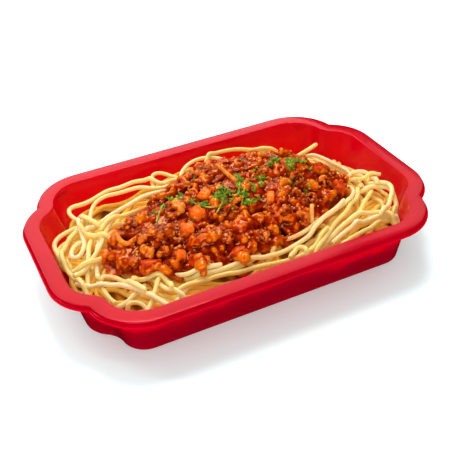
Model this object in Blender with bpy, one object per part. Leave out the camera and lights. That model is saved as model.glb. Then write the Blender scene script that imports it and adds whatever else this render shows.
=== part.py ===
"""Spaghetti bolognese served in a red microwave tray.

The tray stands on the table: the origin is on the table under its middle, +X runs along its length,
+Y to its far side and +Z up. Sizes are in millimetres and turned to metres by MM.
"""

import math
import random
from collections import namedtuple

import bmesh
import bpy
from mathutils import Matrix, Vector, noise

MM = 0.001
GAP = 0.3  # air left between two pieces that touch

# ---------------------------------------------------------------- driving sizes of the tray
HEIGHT = 33.0  # table to the top of the flange
SHEET = 1.0  # wall and floor thickness
ROUND_STEPS = 2  # faces across a rounded edge
END_STEPS, NOTCH_STEPS, SIDE_STEPS = 5, 4, 5  # faces along the arcs of one corner

# A corner of the plan has two lobes with a notch between them: one lobe belongs to the short end, the
# other to the long side. half_x and half_y are half the length and width; cut_x is how far the
# long side's lobe stays back from the end, cut_y how far the end's lobe stays back from the side.
Outline = namedtuple("Outline", "half_x half_y cut_x cut_y r_end r_side r_notch")
FLANGE_EDGE = Outline(111.35, 73.67, 13.28, 21.14, 27.98, 29.24, 0.9)
MOUTH = Outline(102.40, 64.72, 13.28, 21.14, 19.03, 20.29, 12.0)
BASE = Outline(96.28, 58.60, 12.78, 18.31, 16.20, 13.26, 15.0)

EDGE_ROUND = 0.6  # rounding of the flange's outer edge and of its mouth
SKIRT_STEP = 0.55  # the skirt steps out once half way down
SKIRT_DROP = 1.3  # height of each half of the skirt
LIP_OUT = 1.15  # the trimmed lip stands this far outside the flange edge
LIP_THICK = 0.6
FLOOR_BLEND = 5.0  # radius between the inner wall and the floor
FOOT_ROUND = 2.2  # radius between the outer wall and the base

# Stacking lugs: a flat chord across each side lobe, just under the rim, with two grooves in it.
LUG_ANGLE = math.radians(50)
LUG_CHORD = 19.07  # from the lobe's centre to the flat
LUG_TOP, LUG_FOOT = 2.0, 6.6  # depths below the rim
LUG_DRAFT = 0.2  # how fast the lobe's wall closes in with depth
GROOVE_WIDTH, GROOVE_DEPTH, GROOVE_SPACING = 1.1, 0.8, 4.6

# ---------------------------------------------------------------- driving sizes of the food
PLATEAU = 26.5  # level of the spaghetti under the sauce
WALL_LEVEL = 21.0  # its level at the walls, before the terms below
LEVEL_BACK, LEVEL_FRONT, LEVEL_RIGHT, LEVEL_LEFT = 5.0, -1.5, -5.0, -0.5
BACK_FALL = 14.0  # how much lower it lies at the right of the back wall than at its middle
TANGLE_HEIGHT = 2.8  # height of the humps where strands loop over each other
TANGLE_WIDTH = 15.0

SAUCE_HALF_LENGTH, SAUCE_HALF_WIDTH = 77.0, 43.0
SAUCE_END, SAUCE_SIDE = 2.2, 1.8  # powers of the oval: 2 and 2 would be an ellipse
SAUCE_SLIM_LEFT, SAUCE_SLIM_RIGHT = 0.24, 0.12  # how much slimmer the two ends are
SAUCE_BEND_LEFT, SAUCE_BEND_RIGHT = -13.0, 2.5  # how far its middle line drifts in y at the two ends
SAUCE_CROWN = 11.5  # thickness in the middle, over the blunt edge
SAUCE_LEAN = 0.35  # share by which the far side is thicker and the near side thinner
SAUCE_EDGE = 2.4  # thickness of the blunt edge
FURROW_DEPTH, HOLLOW_DEPTH = 6.0, 5.0
LUMP_HEIGHT, LUMP_WIDTH = 5.0, 13.0
SAUCE_AROUND, SAUCE_TOP_RINGS, SAUCE_UNDER_RINGS = 50, 12, 4


# ---------------------------------------------------------------- helpers for rings and solids
def grown(outline, by):
    """The outline moved outwards everywhere; its notch, which is hollow, gets tighter."""
    return outline._replace(
        half_x=outline.half_x + by,
        half_y=outline.half_y + by,
        r_end=outline.r_end + by,
        r_side=outline.r_side + by,
        r_notch=max(outline.r_notch - by, 0.4),
    )


def mixed(first, second, share):
    return Outline(*(a + (b - a) * share for a, b in zip(first, second)))


def arc(centre, radius, start, end, steps):
    turn = [start + (end - start) * i / steps for i in range(steps + 1)]
    return [centre + radius * Vector((math.cos(t), math.sin(t))) for t in turn]


def corner(outline, end_straight, side_straight):
    """Points of the quarter from the middle of the end to the middle of the side, anticlockwise."""
    end_centre = Vector((outline.half_x - outline.r_end, outline.half_y - outline.cut_y - outline.r_end))
    side_centre = Vector((outline.half_x - outline.cut_x - outline.r_side, outline.half_y - outline.r_side))
    # The notch's circle touches both lobes from outside.
    reach_end, reach_side = outline.r_end + outline.r_notch, outline.r_side + outline.r_notch
    between = side_centre - end_centre
    along = (between.length_squared + reach_end**2 - reach_side**2) / (2 * between.length)
    across = math.sqrt(max(reach_end**2 - along**2, 0.0))
    direction = between.normalized()
    outward = Vector((-direction.y, direction.x))
    if outward.dot(Vector((1, 1))) < 0:
        outward = -outward
    notch_centre = end_centre + direction * along + outward * across

    def angle(a, b):
        return math.atan2(b.y - a.y, b.x - a.x)

    end_arc = arc(end_centre, outline.r_end, 0.0, angle(end_centre, notch_centre), END_STEPS)
    side_arc = arc(side_centre, outline.r_side, angle(side_centre, notch_centre), math.pi / 2, SIDE_STEPS)
    into = angle(notch_centre, end_centre) % math.tau
    out = angle(notch_centre, side_centre) % math.tau
    notch_arc = arc(notch_centre, outline.r_notch, into, out, NOTCH_STEPS)
    end_middle = Vector((outline.half_x, 0.0))
    side_middle = Vector((0.0, outline.half_y))
    end_line = [end_middle.lerp(end_arc[0], i / end_straight) for i in range(end_straight)]
    side_line = [side_arc[-1].lerp(side_middle, i / side_straight) for i in range(1, side_straight + 1)]
    return end_line + end_arc + notch_arc[1:-1] + side_arc + side_line


def ring(outline, z, end_straight=1, side_straight=1):
    """The whole plan at one height; half of each straight side is split into as many faces as asked."""
    quarter = corner(outline, end_straight, side_straight)
    half = quarter + [Vector((-p.x, p.y)) for p in reversed(quarter[:-1])]
    whole = half + [Vector((p.x, -p.y)) for p in reversed(half[1:-1])]
    return [Vector((p.x, p.y, z)) for p in whole]


def solid(name, rings, material):
    """One closed body: a skin over rings of equal count, with the first and last ring filled."""
    mesh = bmesh.new()
    loops = [[mesh.verts.new(p * MM) for p in points] for points in rings]
    for lower, upper in zip(loops, loops[1:]):
        for i in range(len(lower)):
            j = (i + 1) % len(lower)
            mesh.faces.new((lower[i], lower[j], upper[j], upper[i]))
    mesh.faces.new(loops[0])
    mesh.faces.new(loops[-1])
    bmesh.ops.triangulate(mesh, faces=[f for f in mesh.faces if len(f.verts) > 4])
    bmesh.ops.recalc_face_normals(mesh, faces=mesh.faces)
    return finished(name, mesh, material)


def finished(name, mesh, material, smooth_angle=35):
    data = bpy.data.meshes.new(name)
    mesh.to_mesh(data)
    mesh.free()
    piece = bpy.data.objects.new(name, data)
    bpy.context.scene.collection.objects.link(piece)
    data.materials.append(material)
    data.shade_smooth()
    data.set_sharp_from_angle(angle=math.radians(smooth_angle))
    return piece


def food_or_plastic(name, colour, roughness):
    material = bpy.data.materials.new(name)
    material.use_nodes = True
    shader = material.node_tree.nodes["Principled BSDF"]
    shader.inputs["Base Color"].default_value = (*colour, 1.0)
    shader.inputs["Roughness"].default_value = roughness
    shader.inputs["Metallic"].default_value = 0.0
    return material


def use_boolean(target, other, operation):
    cut = target.modifiers.new(f"{operation.lower()}_{other.name}", "BOOLEAN")
    cut.operation = operation
    cut.solver = "EXACT"
    cut.object = other
    other.hide_render = True
    other.display_type = "WIRE"


def smoothstep(low, high, value):
    share = min(max((value - low) / (high - low), 0.0), 1.0)
    return share * share * (3 - 2 * share)


# ---------------------------------------------------------------- the tray
def inner_wall(z):
    """The plan of the tray's inside at a height, above the floor's blend."""
    share = (HEIGHT - z) / (HEIGHT - SHEET)
    return mixed(MOUTH, grown(BASE, -SHEET), share)


def inner_profile():
    """Floor blend and inner wall, from the floor up to the mouth, as pairs of plan and height."""
    pairs = []
    for i in range(ROUND_STEPS + 1):
        turn = math.pi / 2 * i / ROUND_STEPS
        z = SHEET + FLOOR_BLEND * (1 - math.cos(turn))
        pairs.append((grown(inner_wall(z), -FLOOR_BLEND * (1 - math.sin(turn))), z))
    half_way = (SHEET + FLOOR_BLEND + HEIGHT) / 2
    pairs.append((inner_wall(half_way), half_way))
    for i in range(ROUND_STEPS + 1):
        turn = math.pi / 2 * i / ROUND_STEPS
        z = HEIGHT - EDGE_ROUND * (1 - math.sin(turn))
        pairs.append((grown(MOUTH, EDGE_ROUND * (1 - math.cos(turn))), z))
    return pairs


def outer_profile():
    """Flange edge, stepped skirt, lip, underside and outer wall, from the rim down to the base."""
    pairs = []
    for i in range(ROUND_STEPS + 1):
        turn = math.pi / 2 * i / ROUND_STEPS
        out = -EDGE_ROUND * (1 - math.sin(turn))
        pairs.append((grown(FLANGE_EDGE, out), HEIGHT - EDGE_ROUND * (1 - math.cos(turn))))
    step_z = HEIGHT - SKIRT_DROP
    lip_top = HEIGHT - 2 * SKIRT_DROP + 0.2
    lip_foot = lip_top - LIP_THICK
    pairs.append((FLANGE_EDGE, step_z))
    pairs.append((grown(FLANGE_EDGE, SKIRT_STEP), step_z - 0.15))
    pairs.append((grown(FLANGE_EDGE, SKIRT_STEP), lip_top))
    pairs.append((grown(FLANGE_EDGE, LIP_OUT), lip_top - 0.1))
    pairs.append((grown(FLANGE_EDGE, LIP_OUT), lip_foot))
    pairs.append((grown(FLANGE_EDGE, SKIRT_STEP - SHEET), lip_foot))
    pairs.append((grown(FLANGE_EDGE, -SHEET), HEIGHT - SHEET))
    pairs.append((grown(MOUTH, SHEET), HEIGHT - SHEET))
    outside = grown(MOUTH, SHEET)
    pairs.append((mixed(outside, BASE, 0.5), HEIGHT / 2))
    for i in range(ROUND_STEPS + 1):
        turn = math.pi / 2 * i / ROUND_STEPS
        z = FOOT_ROUND * (1 - math.sin(turn))
        at_wall = mixed(outside, BASE, (HEIGHT - z) / HEIGHT)
        pairs.append((grown(at_wall, -FOOT_ROUND * (1 - math.cos(turn))), z))
    return pairs


def lug_ring(depth):
    """A chord flat with an arc behind it in the middle of the wall, before it is put in its corner."""
    radius = MOUTH.r_side + SHEET / 2 - LUG_DRAFT * depth
    spread = math.acos(LUG_CHORD / radius)
    back = arc(Vector((0, 0)), radius, LUG_ANGLE - spread, LUG_ANGLE + spread, 6)
    return [Vector((p.x, p.y, HEIGHT - depth)) for p in back]


def stacking_lug(name, side_x, side_y, material):
    centre = Vector((MOUTH.half_x - MOUTH.cut_x - MOUTH.r_side, MOUTH.half_y - MOUTH.r_side, 0))
    lug = solid(name, [[centre + p for p in lug_ring(d)] for d in (LUG_TOP, LUG_FOOT)], material)
    facing = Matrix.Rotation(LUG_ANGLE, 4, "Z")
    depth = LUG_FOOT - LUG_TOP
    for side in (-1, 1):
        cutter = bmesh.new()
        bmesh.ops.create_cube(cutter, size=1.0)
        size = Matrix.Diagonal((GROOVE_DEPTH * 2, GROOVE_WIDTH, depth * 2, 1))
        place = Vector((LUG_CHORD, side * GROOVE_SPACING / 2, HEIGHT - LUG_TOP - 0.5 - depth))
        matrix = Matrix.Translation(centre) @ facing @ Matrix.Translation(place) @ size
        bmesh.ops.transform(cutter, matrix=Matrix.Scale(MM, 4) @ matrix, verts=cutter.verts)
        groove = finished(f"{name}_groove_{side + 2}", cutter, material)
        groove.scale = (side_x, side_y, 1)
        use_boolean(lug, groove, "DIFFERENCE")
    lug.scale = (side_x, side_y, 1)
    return lug


def make_tray():
    red = food_or_plastic("red_tray_plastic", (0.62, 0.004, 0.012), 0.32)
    tray = solid("tray", [ring(outline, z) for outline, z in inner_profile() + outer_profile()], red)
    for side_x in (-1, 1):
        for side_y in (-1, 1):
            name = f"lug_{'right' if side_x > 0 else 'left'}_{'back' if side_y > 0 else 'front'}"
            use_boolean(tray, stacking_lug(name, side_x, side_y, red), "UNION")


# ---------------------------------------------------------------- levels of the food
def sauce_middle(x):
    """Where the sauce's long middle line lies: it bends to the front at the left end."""
    along = x / SAUCE_HALF_LENGTH
    return -1.0 + SAUCE_BEND_LEFT * max(-along, 0.0) + SAUCE_BEND_RIGHT * max(along, 0.0)


def sauce_half_width(x):
    """Half the width that the oval would have if it didn't close at its ends."""
    slim = SAUCE_SLIM_LEFT if x < 0 else SAUCE_SLIM_RIGHT
    return SAUCE_HALF_WIDTH * (1 - slim * smoothstep(0.0, 60.0, abs(x)))


def sauce_edge(turn):
    """A point of the sauce's outline in plan, with a few waves along it."""
    wave = 1 + 0.04 * math.sin(5 * turn + 0.8) + 0.03 * math.sin(11 * turn)
    x = SAUCE_HALF_LENGTH * math.cos(turn)
    half = sauce_half_width(x) * (1 - abs(math.cos(turn)) ** SAUCE_END) ** (1 / SAUCE_SIDE)
    return Vector((x, sauce_middle(x) + math.copysign(half * wave, math.sin(turn))))


def sauce_share(x, y):
    """0 in the middle of the sauce, 1 at its edge, more outside it."""
    along = abs(x) / SAUCE_HALF_LENGTH
    across = abs(y - sauce_middle(x)) / sauce_half_width(x)
    return (along**SAUCE_END + across**SAUCE_SIDE) ** (1 / SAUCE_END)


def bed_level(x, y):
    """The spaghetti's smooth level: a flat crown that falls to a different height at each wall."""
    u, v = x / MOUTH.half_x, y / MOUTH.half_y
    back = LEVEL_BACK - BACK_FALL * smoothstep(0.0, 0.6, u)
    wall = WALL_LEVEL
    wall += back * max(v, 0) ** 2 + LEVEL_FRONT * max(-v, 0) ** 2
    wall += LEVEL_RIGHT * max(u, 0) ** 2 + LEVEL_LEFT * max(-u, 0) ** 2
    reach = (u**4 + v**4) ** 0.25
    return wall + (PLATEAU - wall) * (1 - smoothstep(0.45, 1.0, reach))


def tangle_level(x, y):
    """The level with the humps of looping strands, which fade out under the sauce."""
    shown = smoothstep(0.95, 1.2, sauce_share(x, y))
    swirl = noise.noise(Vector((x, y * 1.6, 7.0)) / TANGLE_WIDTH)
    return bed_level(x, y) + TANGLE_HEIGHT * shown * swirl


def sauce_level(x, y):
    """Top of the sauce: a mound with a furrow along it, a hollow at its right front, and soft lumps."""
    share = sauce_share(x, y)
    lean = 1 + SAUCE_LEAN * (y - sauce_middle(x)) / sauce_half_width(x)
    crown = SAUCE_CROWN * lean * max(1 - share**4, 0.0) ** 0.75
    furrow = FURROW_DEPTH * math.exp(-(((y + 18) / 6) ** 2) - ((x + 5) / 22) ** 4)
    hollow = HOLLOW_DEPTH * math.exp(-((x - 17) ** 2 + (y + 37) ** 2) / 30)
    hollow += HOLLOW_DEPTH * math.exp(-((x - 43) ** 2 + (y + 11) ** 2) / 20)
    nearest = noise.voronoi(Vector((x, y, 3.0)) / LUMP_WIDTH)[0][0]
    lump = LUMP_HEIGHT * (0.6 - nearest * 1.4)
    inner = 1 - smoothstep(0.85, 1.0, share)
    return bed_level(x, y) + SAUCE_EDGE + crown + (lump - furrow - hollow) * inner


# ---------------------------------------------------------------- spaghetti and sauce
def wall_point(index, z, rings):
    """A point of the spaghetti's outside at a height, just clear of the tray's inner wall."""
    lower, upper = next(pair for pair in zip(rings, rings[1:]) if pair[1][index].z >= z or pair[1] is rings[-1])
    share = (z - lower[index].z) / (upper[index].z - lower[index].z)
    return lower[index].lerp(upper[index], share)


def make_spaghetti():
    noodle = food_or_plastic("cooked_spaghetti", (0.82, 0.56, 0.20), 0.4)
    inside = [ring(grown(outline, -GAP), z + GAP, 3, 4) for outline, z in inner_profile()]
    count = len(inside[0])
    contact = []
    for i in range(count):
        z = WALL_LEVEL
        for _ in range(4):
            point = wall_point(i, z, inside)
            z = tangle_level(point.x, point.y)
        contact.append(Vector((point.x, point.y, z)))
    rings = inside[: ROUND_STEPS + 1]
    wall_foot = rings[-1][0].z
    rings.append([wall_point(i, (wall_foot + contact[i].z) / 2, inside) for i in range(count)])
    rings.append(contact)
    for inward in (0.06, 0.12, 0.18, 0.24, 0.31, 0.4, 0.55, 0.78):
        points = [(p.x * (1 - inward), p.y * (1 - inward)) for p in contact]
        rings.append([Vector((x, y, tangle_level(x, y))) for x, y in points])
    return solid("spaghetti", rings, noodle)


def sauce_ring(share, level):
    points = []
    for i in range(SAUCE_AROUND):
        edge = sauce_edge(math.tau * (i + 0.5) / SAUCE_AROUND)
        x = edge.x * share
        y = sauce_middle(x) + (edge.y - sauce_middle(edge.x)) * share
        points.append(Vector((x, y, level(x, y))))
    return points


def make_sauce():
    ragu = food_or_plastic("bolognese_sauce", (0.42, 0.045, 0.008), 0.25)
    rings = []
    for i in range(1, SAUCE_UNDER_RINGS + 1):
        rings.append(sauce_ring(i / SAUCE_UNDER_RINGS * 0.97, lambda x, y: bed_level(x, y) + 2 * GAP))
    rings.append(sauce_ring(1.01, lambda x, y: bed_level(x, y) + SAUCE_EDGE * 0.5))
    for i in range(SAUCE_TOP_RINGS):
        rings.append(sauce_ring(1 - (i / SAUCE_TOP_RINGS) ** 1.1, sauce_level))
    return solid("sauce", rings, ragu)


# ---------------------------------------------------------------- pieces that stand proud of the sauce
def cut_dice(name, size, material):
    """A hand-cut cube: its corners are a little out of place and its edges are boiled soft."""
    chance = random.Random(name)
    cube = bmesh.new()
    bmesh.ops.create_cube(cube, size=MM)
    for vertex in cube.verts:
        vertex.co *= 1 + chance.uniform(-0.12, 0.08)
    bmesh.ops.scale(cube, vec=size, verts=cube.verts)
    bmesh.ops.bevel(cube, geom=cube.edges, offset=min(size) * 0.16 * MM, segments=1, affect="EDGES")
    return finished(name, cube, material, smooth_angle=60)


def crumbled_lump(name, size, material):
    """A clump of mince: a ball with knobs, as it broke up in the pan."""
    ball = bmesh.new()
    bmesh.ops.create_icosphere(ball, subdivisions=2, radius=MM / 2)
    offset = Vector((len(name), *size[:2]))
    for vertex in ball.verts:
        vertex.co *= 1 + 0.45 * noise.noise(vertex.co / MM * 5.0 + offset)
    bmesh.ops.scale(ball, vec=size, verts=ball.verts)
    return finished(name, ball, material, smooth_angle=60)


def sink_into(sauce, piece, x, y, proud, turns):
    """Rests a chunk in a socket of the sauce; proud is its middle's height over the sauce's top."""
    piece.location = Vector((x, y, sauce_level(x, y) + proud)) * MM
    piece.rotation_euler = [math.radians(degrees) for degrees in turns]
    cutter = piece.copy()
    cutter.data = piece.data.copy()
    cutter.name = f"{piece.name}_socket"
    bpy.context.scene.collection.objects.link(cutter)
    normals = [vertex.normal.copy() for vertex in cutter.data.vertices]
    for vertex, normal in zip(cutter.data.vertices, normals):
        vertex.co += normal * GAP * 1.4 * MM
    use_boolean(sauce, cutter, "DIFFERENCE")


def make_chunks(sauce):
    """Every chunk that stands proud of the sauce: its size, x and y, height over the sauce, turns."""
    carrot = food_or_plastic("boiled_carrot", (0.80, 0.16, 0.01), 0.3)
    tomato = food_or_plastic("tomato_flesh", (0.55, 0.03, 0.01), 0.2)
    mince = food_or_plastic("browned_mince", (0.50, 0.15, 0.03), 0.45)
    carrots = (
        ((8.5, 8.5, 8.0), -23.5, -11.5, 0.8, (6, 8, 21)),
        ((7.5, 7.0, 8.0), -33.5, -20.5, 0.8, (8, 5, -12)),
        ((8.5, 7.0, 6.5), -13.0, 1.0, 0.0, (10, -15, 35)),
        ((5.5, 5.5, 8.0), -42.5, -32.0, 0.5, (12, 10, -20)),
        ((9.5, 4.5, 5.0), 20.5, -14.5, 0.5, (0, -8, 60)),
    )
    tomatoes = (
        ((6.0, 9.0, 8.5), 63.5, -16.5, 1.0, (10, 25, -20)),
        ((7.5, 7.0, 6.0), 59.0, -2.5, 0.5, (15, 20, 30)),
        ((8.0, 7.0, 7.5), -36.5, -37.5, 0.8, (-25, 10, 5)),
        ((9.0, 7.0, 7.0), -14.0, -43.0, 1.2, (-25, 5, 40)),
        ((12.0, 6.5, 6.5), -58.5, -30.0, 0.8, (-15, 8, -8)),
    )
    minces = (
        ((9.5, 6.0, 6.0), -48.5, -25.5, 1.2, (0, 10, 15)),
        ((12.0, 8.0, 8.0), -45.5, -18.5, 0.6, (10, 0, 20)),
        ((10.0, 8.0, 8.0), -55.5, -12.0, 0.6, (0, 12, 50)),
        ((12.0, 7.0, 6.0), -57.0, 0.5, 0.4, (0, 10, 25)),
        ((9.5, 9.0, 9.0), 56.0, -12.0, 1.4, (0, 15, 60)),
        ((9.5, 8.0, 7.0), 30.5, -17.5, 0.8, (5, 0, -20)),
        ((9.0, 8.0, 7.0), 41.5, -22.0, 0.8, (0, 10, 25)),
        ((8.5, 7.5, 8.0), 21.0, -30.0, 0.8, (8, 0, -15)),
        ((7.5, 7.5, 8.5), 29.0, -34.5, 0.8, (0, 20, 0)),
        ((9.0, 8.0, 7.5), 2.5, -37.5, 0.4, (0, 5, 70)),
        ((10.0, 7.0, 7.0), -16.0, -33.0, 0.4, (5, 5, 10)),
        ((8.0, 8.0, 7.0), 43.0, -2.5, -0.5, (10, 0, 30)),
        ((18.0, 6.5, 6.0), -5.0, -13.0, 0.8, (0, -3, 14)),
        ((9.0, 7.5, 7.0), 51.0, 15.5, 0.0, (0, 12, -40)),
        ((10.0, 8.0, 7.5), -4.0, 24.0, 0.0, (-10, 0, 15)),
        ((9.5, 8.0, 7.0), 27.0, 6.5, -0.5, (5, 10, 60)),
    )
    for name, places, material, shape in (
        ("carrot_dice", carrots, carrot, cut_dice),
        ("tomato_chunk", tomatoes, tomato, cut_dice),
        ("mince_lump", minces, mince, crumbled_lump),
    ):
        for number, (size, x, y, proud, turns) in enumerate(places, 1):
            sink_into(sauce, shape(f"{name}_{number}", size, material), x, y, proud, turns)


for old in list(bpy.data.objects):
    bpy.data.objects.remove(old)
make_tray()
make_spaghetti()
make_chunks(make_sauce())
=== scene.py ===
import math
import random
from collections import namedtuple

import bmesh
import bpy
import numpy as np
from mathutils import Euler, Matrix, Vector, kdtree, noise
from mathutils.bvhtree import BVHTree


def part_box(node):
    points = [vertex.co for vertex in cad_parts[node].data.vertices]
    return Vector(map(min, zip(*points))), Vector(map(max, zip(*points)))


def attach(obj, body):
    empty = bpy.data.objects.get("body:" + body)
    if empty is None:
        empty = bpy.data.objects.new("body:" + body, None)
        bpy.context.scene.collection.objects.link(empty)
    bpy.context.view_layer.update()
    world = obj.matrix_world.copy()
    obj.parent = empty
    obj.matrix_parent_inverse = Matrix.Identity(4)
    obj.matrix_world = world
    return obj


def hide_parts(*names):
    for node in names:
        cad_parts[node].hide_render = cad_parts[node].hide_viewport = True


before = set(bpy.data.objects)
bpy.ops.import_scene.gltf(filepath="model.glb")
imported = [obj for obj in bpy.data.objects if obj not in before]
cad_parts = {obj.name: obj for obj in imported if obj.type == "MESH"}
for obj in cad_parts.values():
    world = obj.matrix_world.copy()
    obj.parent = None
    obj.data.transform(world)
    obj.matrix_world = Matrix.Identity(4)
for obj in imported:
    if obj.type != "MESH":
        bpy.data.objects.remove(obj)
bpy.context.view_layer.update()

# ---- Camera
# It stands at the near left and looks down at the tray's middle, as somebody about to eat would,
# through a long lens that makes the far end only a little smaller.
camera_data = bpy.data.cameras.new("camera")
camera_data.lens = 62.44
camera_data.sensor_width = 36.0
camera_data.clip_start = 0.02
camera = bpy.data.objects.new("camera", camera_data)
camera.location = (-0.15037, -0.34011, 0.28302)
camera.rotation_euler = [math.radians(degrees) for degrees in (54.247, 2.866, -25.677)]
bpy.context.scene.collection.objects.link(camera)
bpy.context.scene.camera = camera

# ---- Tray
# The ready-meal tray: one sheet of red polypropylene drawn into a mould, so its wall, flange, stepped
# skirt and trimmed lip are a single skin of even thickness with soft edges. The plan's corners have
# two lobes each, with a notch between them.
MM = 0.001  # every size below is in millimetres
HEIGHT = 33.0
SHEET = 1.0
EDGE_ROUND = 0.6  # on the rim and on the mouth
STEP_ROUND = 0.12  # on each small step of the skirt
SKIRT_STEP = 0.55  # how far the skirt stands out of the flange
SKIRT_DROP = 1.3
LIP_OUT = 1.15
LIP_THICK = 0.6
FLOOR_BLEND = 5.0
FOOT_ROUND = 2.2
ROUND_STEPS = 5  # faces across a rounded edge
LOBE_STEPS, NOTCH_STEPS = 14, 9  # faces along the arcs of one corner
QUARTERS = (0.25, 0.5, 0.75)  # where a wall gets a ring of its own
# A plan: its half length and width, how far each corner is cut, and the radii of lobes and notch.
Outline = namedtuple("Outline", "half_x half_y cut_x cut_y r_end r_side r_notch")
FLANGE_EDGE = Outline(111.35, 73.67, 13.28, 21.14, 27.98, 29.24, 0.9)
MOUTH = Outline(102.40, 64.72, 13.28, 21.14, 19.03, 20.29, 12.0)
BASE = Outline(96.28, 58.60, 12.78, 18.31, 16.20, 13.26, 15.0)


def grown(outline, by):
    """The outline moved outwards everywhere; its notch, which is hollow, gets tighter."""
    return outline._replace(
        half_x=outline.half_x + by,
        half_y=outline.half_y + by,
        r_end=outline.r_end + by,
        r_side=outline.r_side + by,
        r_notch=max(outline.r_notch - by, 0.4),
    )


def mixed(first, second, share):
    """The outline that lies between two others by a share of the way."""
    return Outline(*(a + (b - a) * share for a, b in zip(first, second)))


def arc(centre, radius, start, end, steps):
    """Points along an arc, both ends included."""
    turn = [start + (end - start) * i / steps for i in range(steps + 1)]
    return [centre + radius * Vector((math.cos(t), math.sin(t))) for t in turn]


def corner(outline, straight):
    """Points of the quarter from the middle of the end to the middle of the side, anticlockwise."""
    end_centre = Vector((outline.half_x - outline.r_end, outline.half_y - outline.cut_y - outline.r_end))
    side_centre = Vector((outline.half_x - outline.cut_x - outline.r_side, outline.half_y - outline.r_side))
    # The notch's circle touches both lobes from outside.
    reach_end, reach_side = outline.r_end + outline.r_notch, outline.r_side + outline.r_notch
    between = side_centre - end_centre
    along = (between.length_squared + reach_end**2 - reach_side**2) / (2 * between.length)
    across = math.sqrt(max(reach_end**2 - along**2, 0.0))
    direction = between.normalized()
    outward = Vector((direction.y, -direction.x))
    if outward.dot(Vector((1, 1))) < 0:
        outward = -outward
    notch_centre = end_centre + direction * along + outward * across

    def angle(a, b):
        return math.atan2(b.y - a.y, b.x - a.x)

    end_arc = arc(end_centre, outline.r_end, 0.0, angle(end_centre, notch_centre), LOBE_STEPS)
    side_arc = arc(side_centre, outline.r_side, angle(side_centre, notch_centre), math.pi / 2, LOBE_STEPS)
    into = angle(notch_centre, end_centre) % math.tau
    out = angle(notch_centre, side_centre) % math.tau
    notch_arc = arc(notch_centre, outline.r_notch, into, out, NOTCH_STEPS)
    end_middle = Vector((outline.half_x, 0.0))
    side_middle = Vector((0.0, outline.half_y))
    end_line = [end_middle.lerp(end_arc[0], i / straight) for i in range(straight)]
    side_line = [side_arc[-1].lerp(side_middle, i / straight) for i in range(1, straight + 1)]
    return end_line + end_arc + notch_arc[1:-1] + side_arc + side_line


def ring(outline, z, straight=3):
    """The whole plan at one height."""
    quarter = corner(outline, straight)
    half = quarter + [Vector((-p.x, p.y)) for p in reversed(quarter[:-1])]
    whole = half + [Vector((p.x, -p.y)) for p in reversed(half[1:-1])]
    return [Vector((p.x, p.y, z)) for p in whole]


def inner_wall(z):
    """The plan of the tray's inside at a height, above the floor's blend."""
    return mixed(MOUTH, grown(BASE, -SHEET), (HEIGHT - z) / (HEIGHT - SHEET))


def inner_profile():
    """Floor blend, inner wall and rounded mouth, from the floor up, as pairs of plan and height."""
    pairs = []
    for i in range(ROUND_STEPS + 1):
        turn = math.pi / 2 * i / ROUND_STEPS
        z = SHEET + FLOOR_BLEND * (1 - math.cos(turn))
        pairs.append((grown(inner_wall(z), -FLOOR_BLEND * (1 - math.sin(turn))), z))
    for share in QUARTERS:
        z = SHEET + FLOOR_BLEND + (HEIGHT - SHEET - FLOOR_BLEND) * share
        pairs.append((inner_wall(z), z))
    for i in range(ROUND_STEPS + 1):
        turn = math.pi / 2 * i / ROUND_STEPS
        z = HEIGHT - EDGE_ROUND * (1 - math.sin(turn))
        pairs.append((grown(MOUTH, EDGE_ROUND * (1 - math.cos(turn))), z))
    return pairs


def outer_profile():
    """Flange edge, stepped skirt, lip, underside and outer wall, from the rim down to the base."""
    pairs = []
    for i in range(ROUND_STEPS + 1):
        turn = math.pi / 2 * i / ROUND_STEPS
        out = -EDGE_ROUND * (1 - math.sin(turn))
        pairs.append((grown(FLANGE_EDGE, out), HEIGHT - EDGE_ROUND * (1 - math.cos(turn))))
    step_z = HEIGHT - SKIRT_DROP
    lip_top = HEIGHT - 2 * SKIRT_DROP + 0.2
    lip_foot = lip_top - LIP_THICK
    for out, z in (
        (0.0, step_z + STEP_ROUND),
        (STEP_ROUND, step_z),
        (SKIRT_STEP - STEP_ROUND, step_z - 0.1),
        (SKIRT_STEP, step_z - 0.1 - STEP_ROUND),
        (SKIRT_STEP, lip_top + STEP_ROUND),
        (SKIRT_STEP + STEP_ROUND, lip_top),
        (LIP_OUT - STEP_ROUND, lip_top - 0.05),
        (LIP_OUT, lip_top - 0.05 - STEP_ROUND),
        (LIP_OUT, lip_foot),
        (SKIRT_STEP - SHEET, lip_foot),
        (-SHEET, HEIGHT - SHEET),
    ):
        pairs.append((grown(FLANGE_EDGE, out), z))
    pairs.append((grown(MOUTH, SHEET + 1.2), HEIGHT - SHEET))
    outside = grown(MOUTH, SHEET)
    pairs.append((grown(outside, 0.4), HEIGHT - SHEET - 0.3))
    pairs.append((mixed(outside, BASE, 0.04), HEIGHT * 0.96 - 0.4))
    for share in QUARTERS:
        pairs.append((mixed(outside, BASE, share), HEIGHT * (1 - share)))
    for i in range(ROUND_STEPS + 1):
        turn = math.pi / 2 * i / ROUND_STEPS
        z = FOOT_ROUND * (1 - math.sin(turn))
        at_wall = mixed(outside, BASE, (HEIGHT - z) / HEIGHT)
        pairs.append((grown(at_wall, -FOOT_ROUND * (1 - math.cos(turn))), z))
    return pairs


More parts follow.
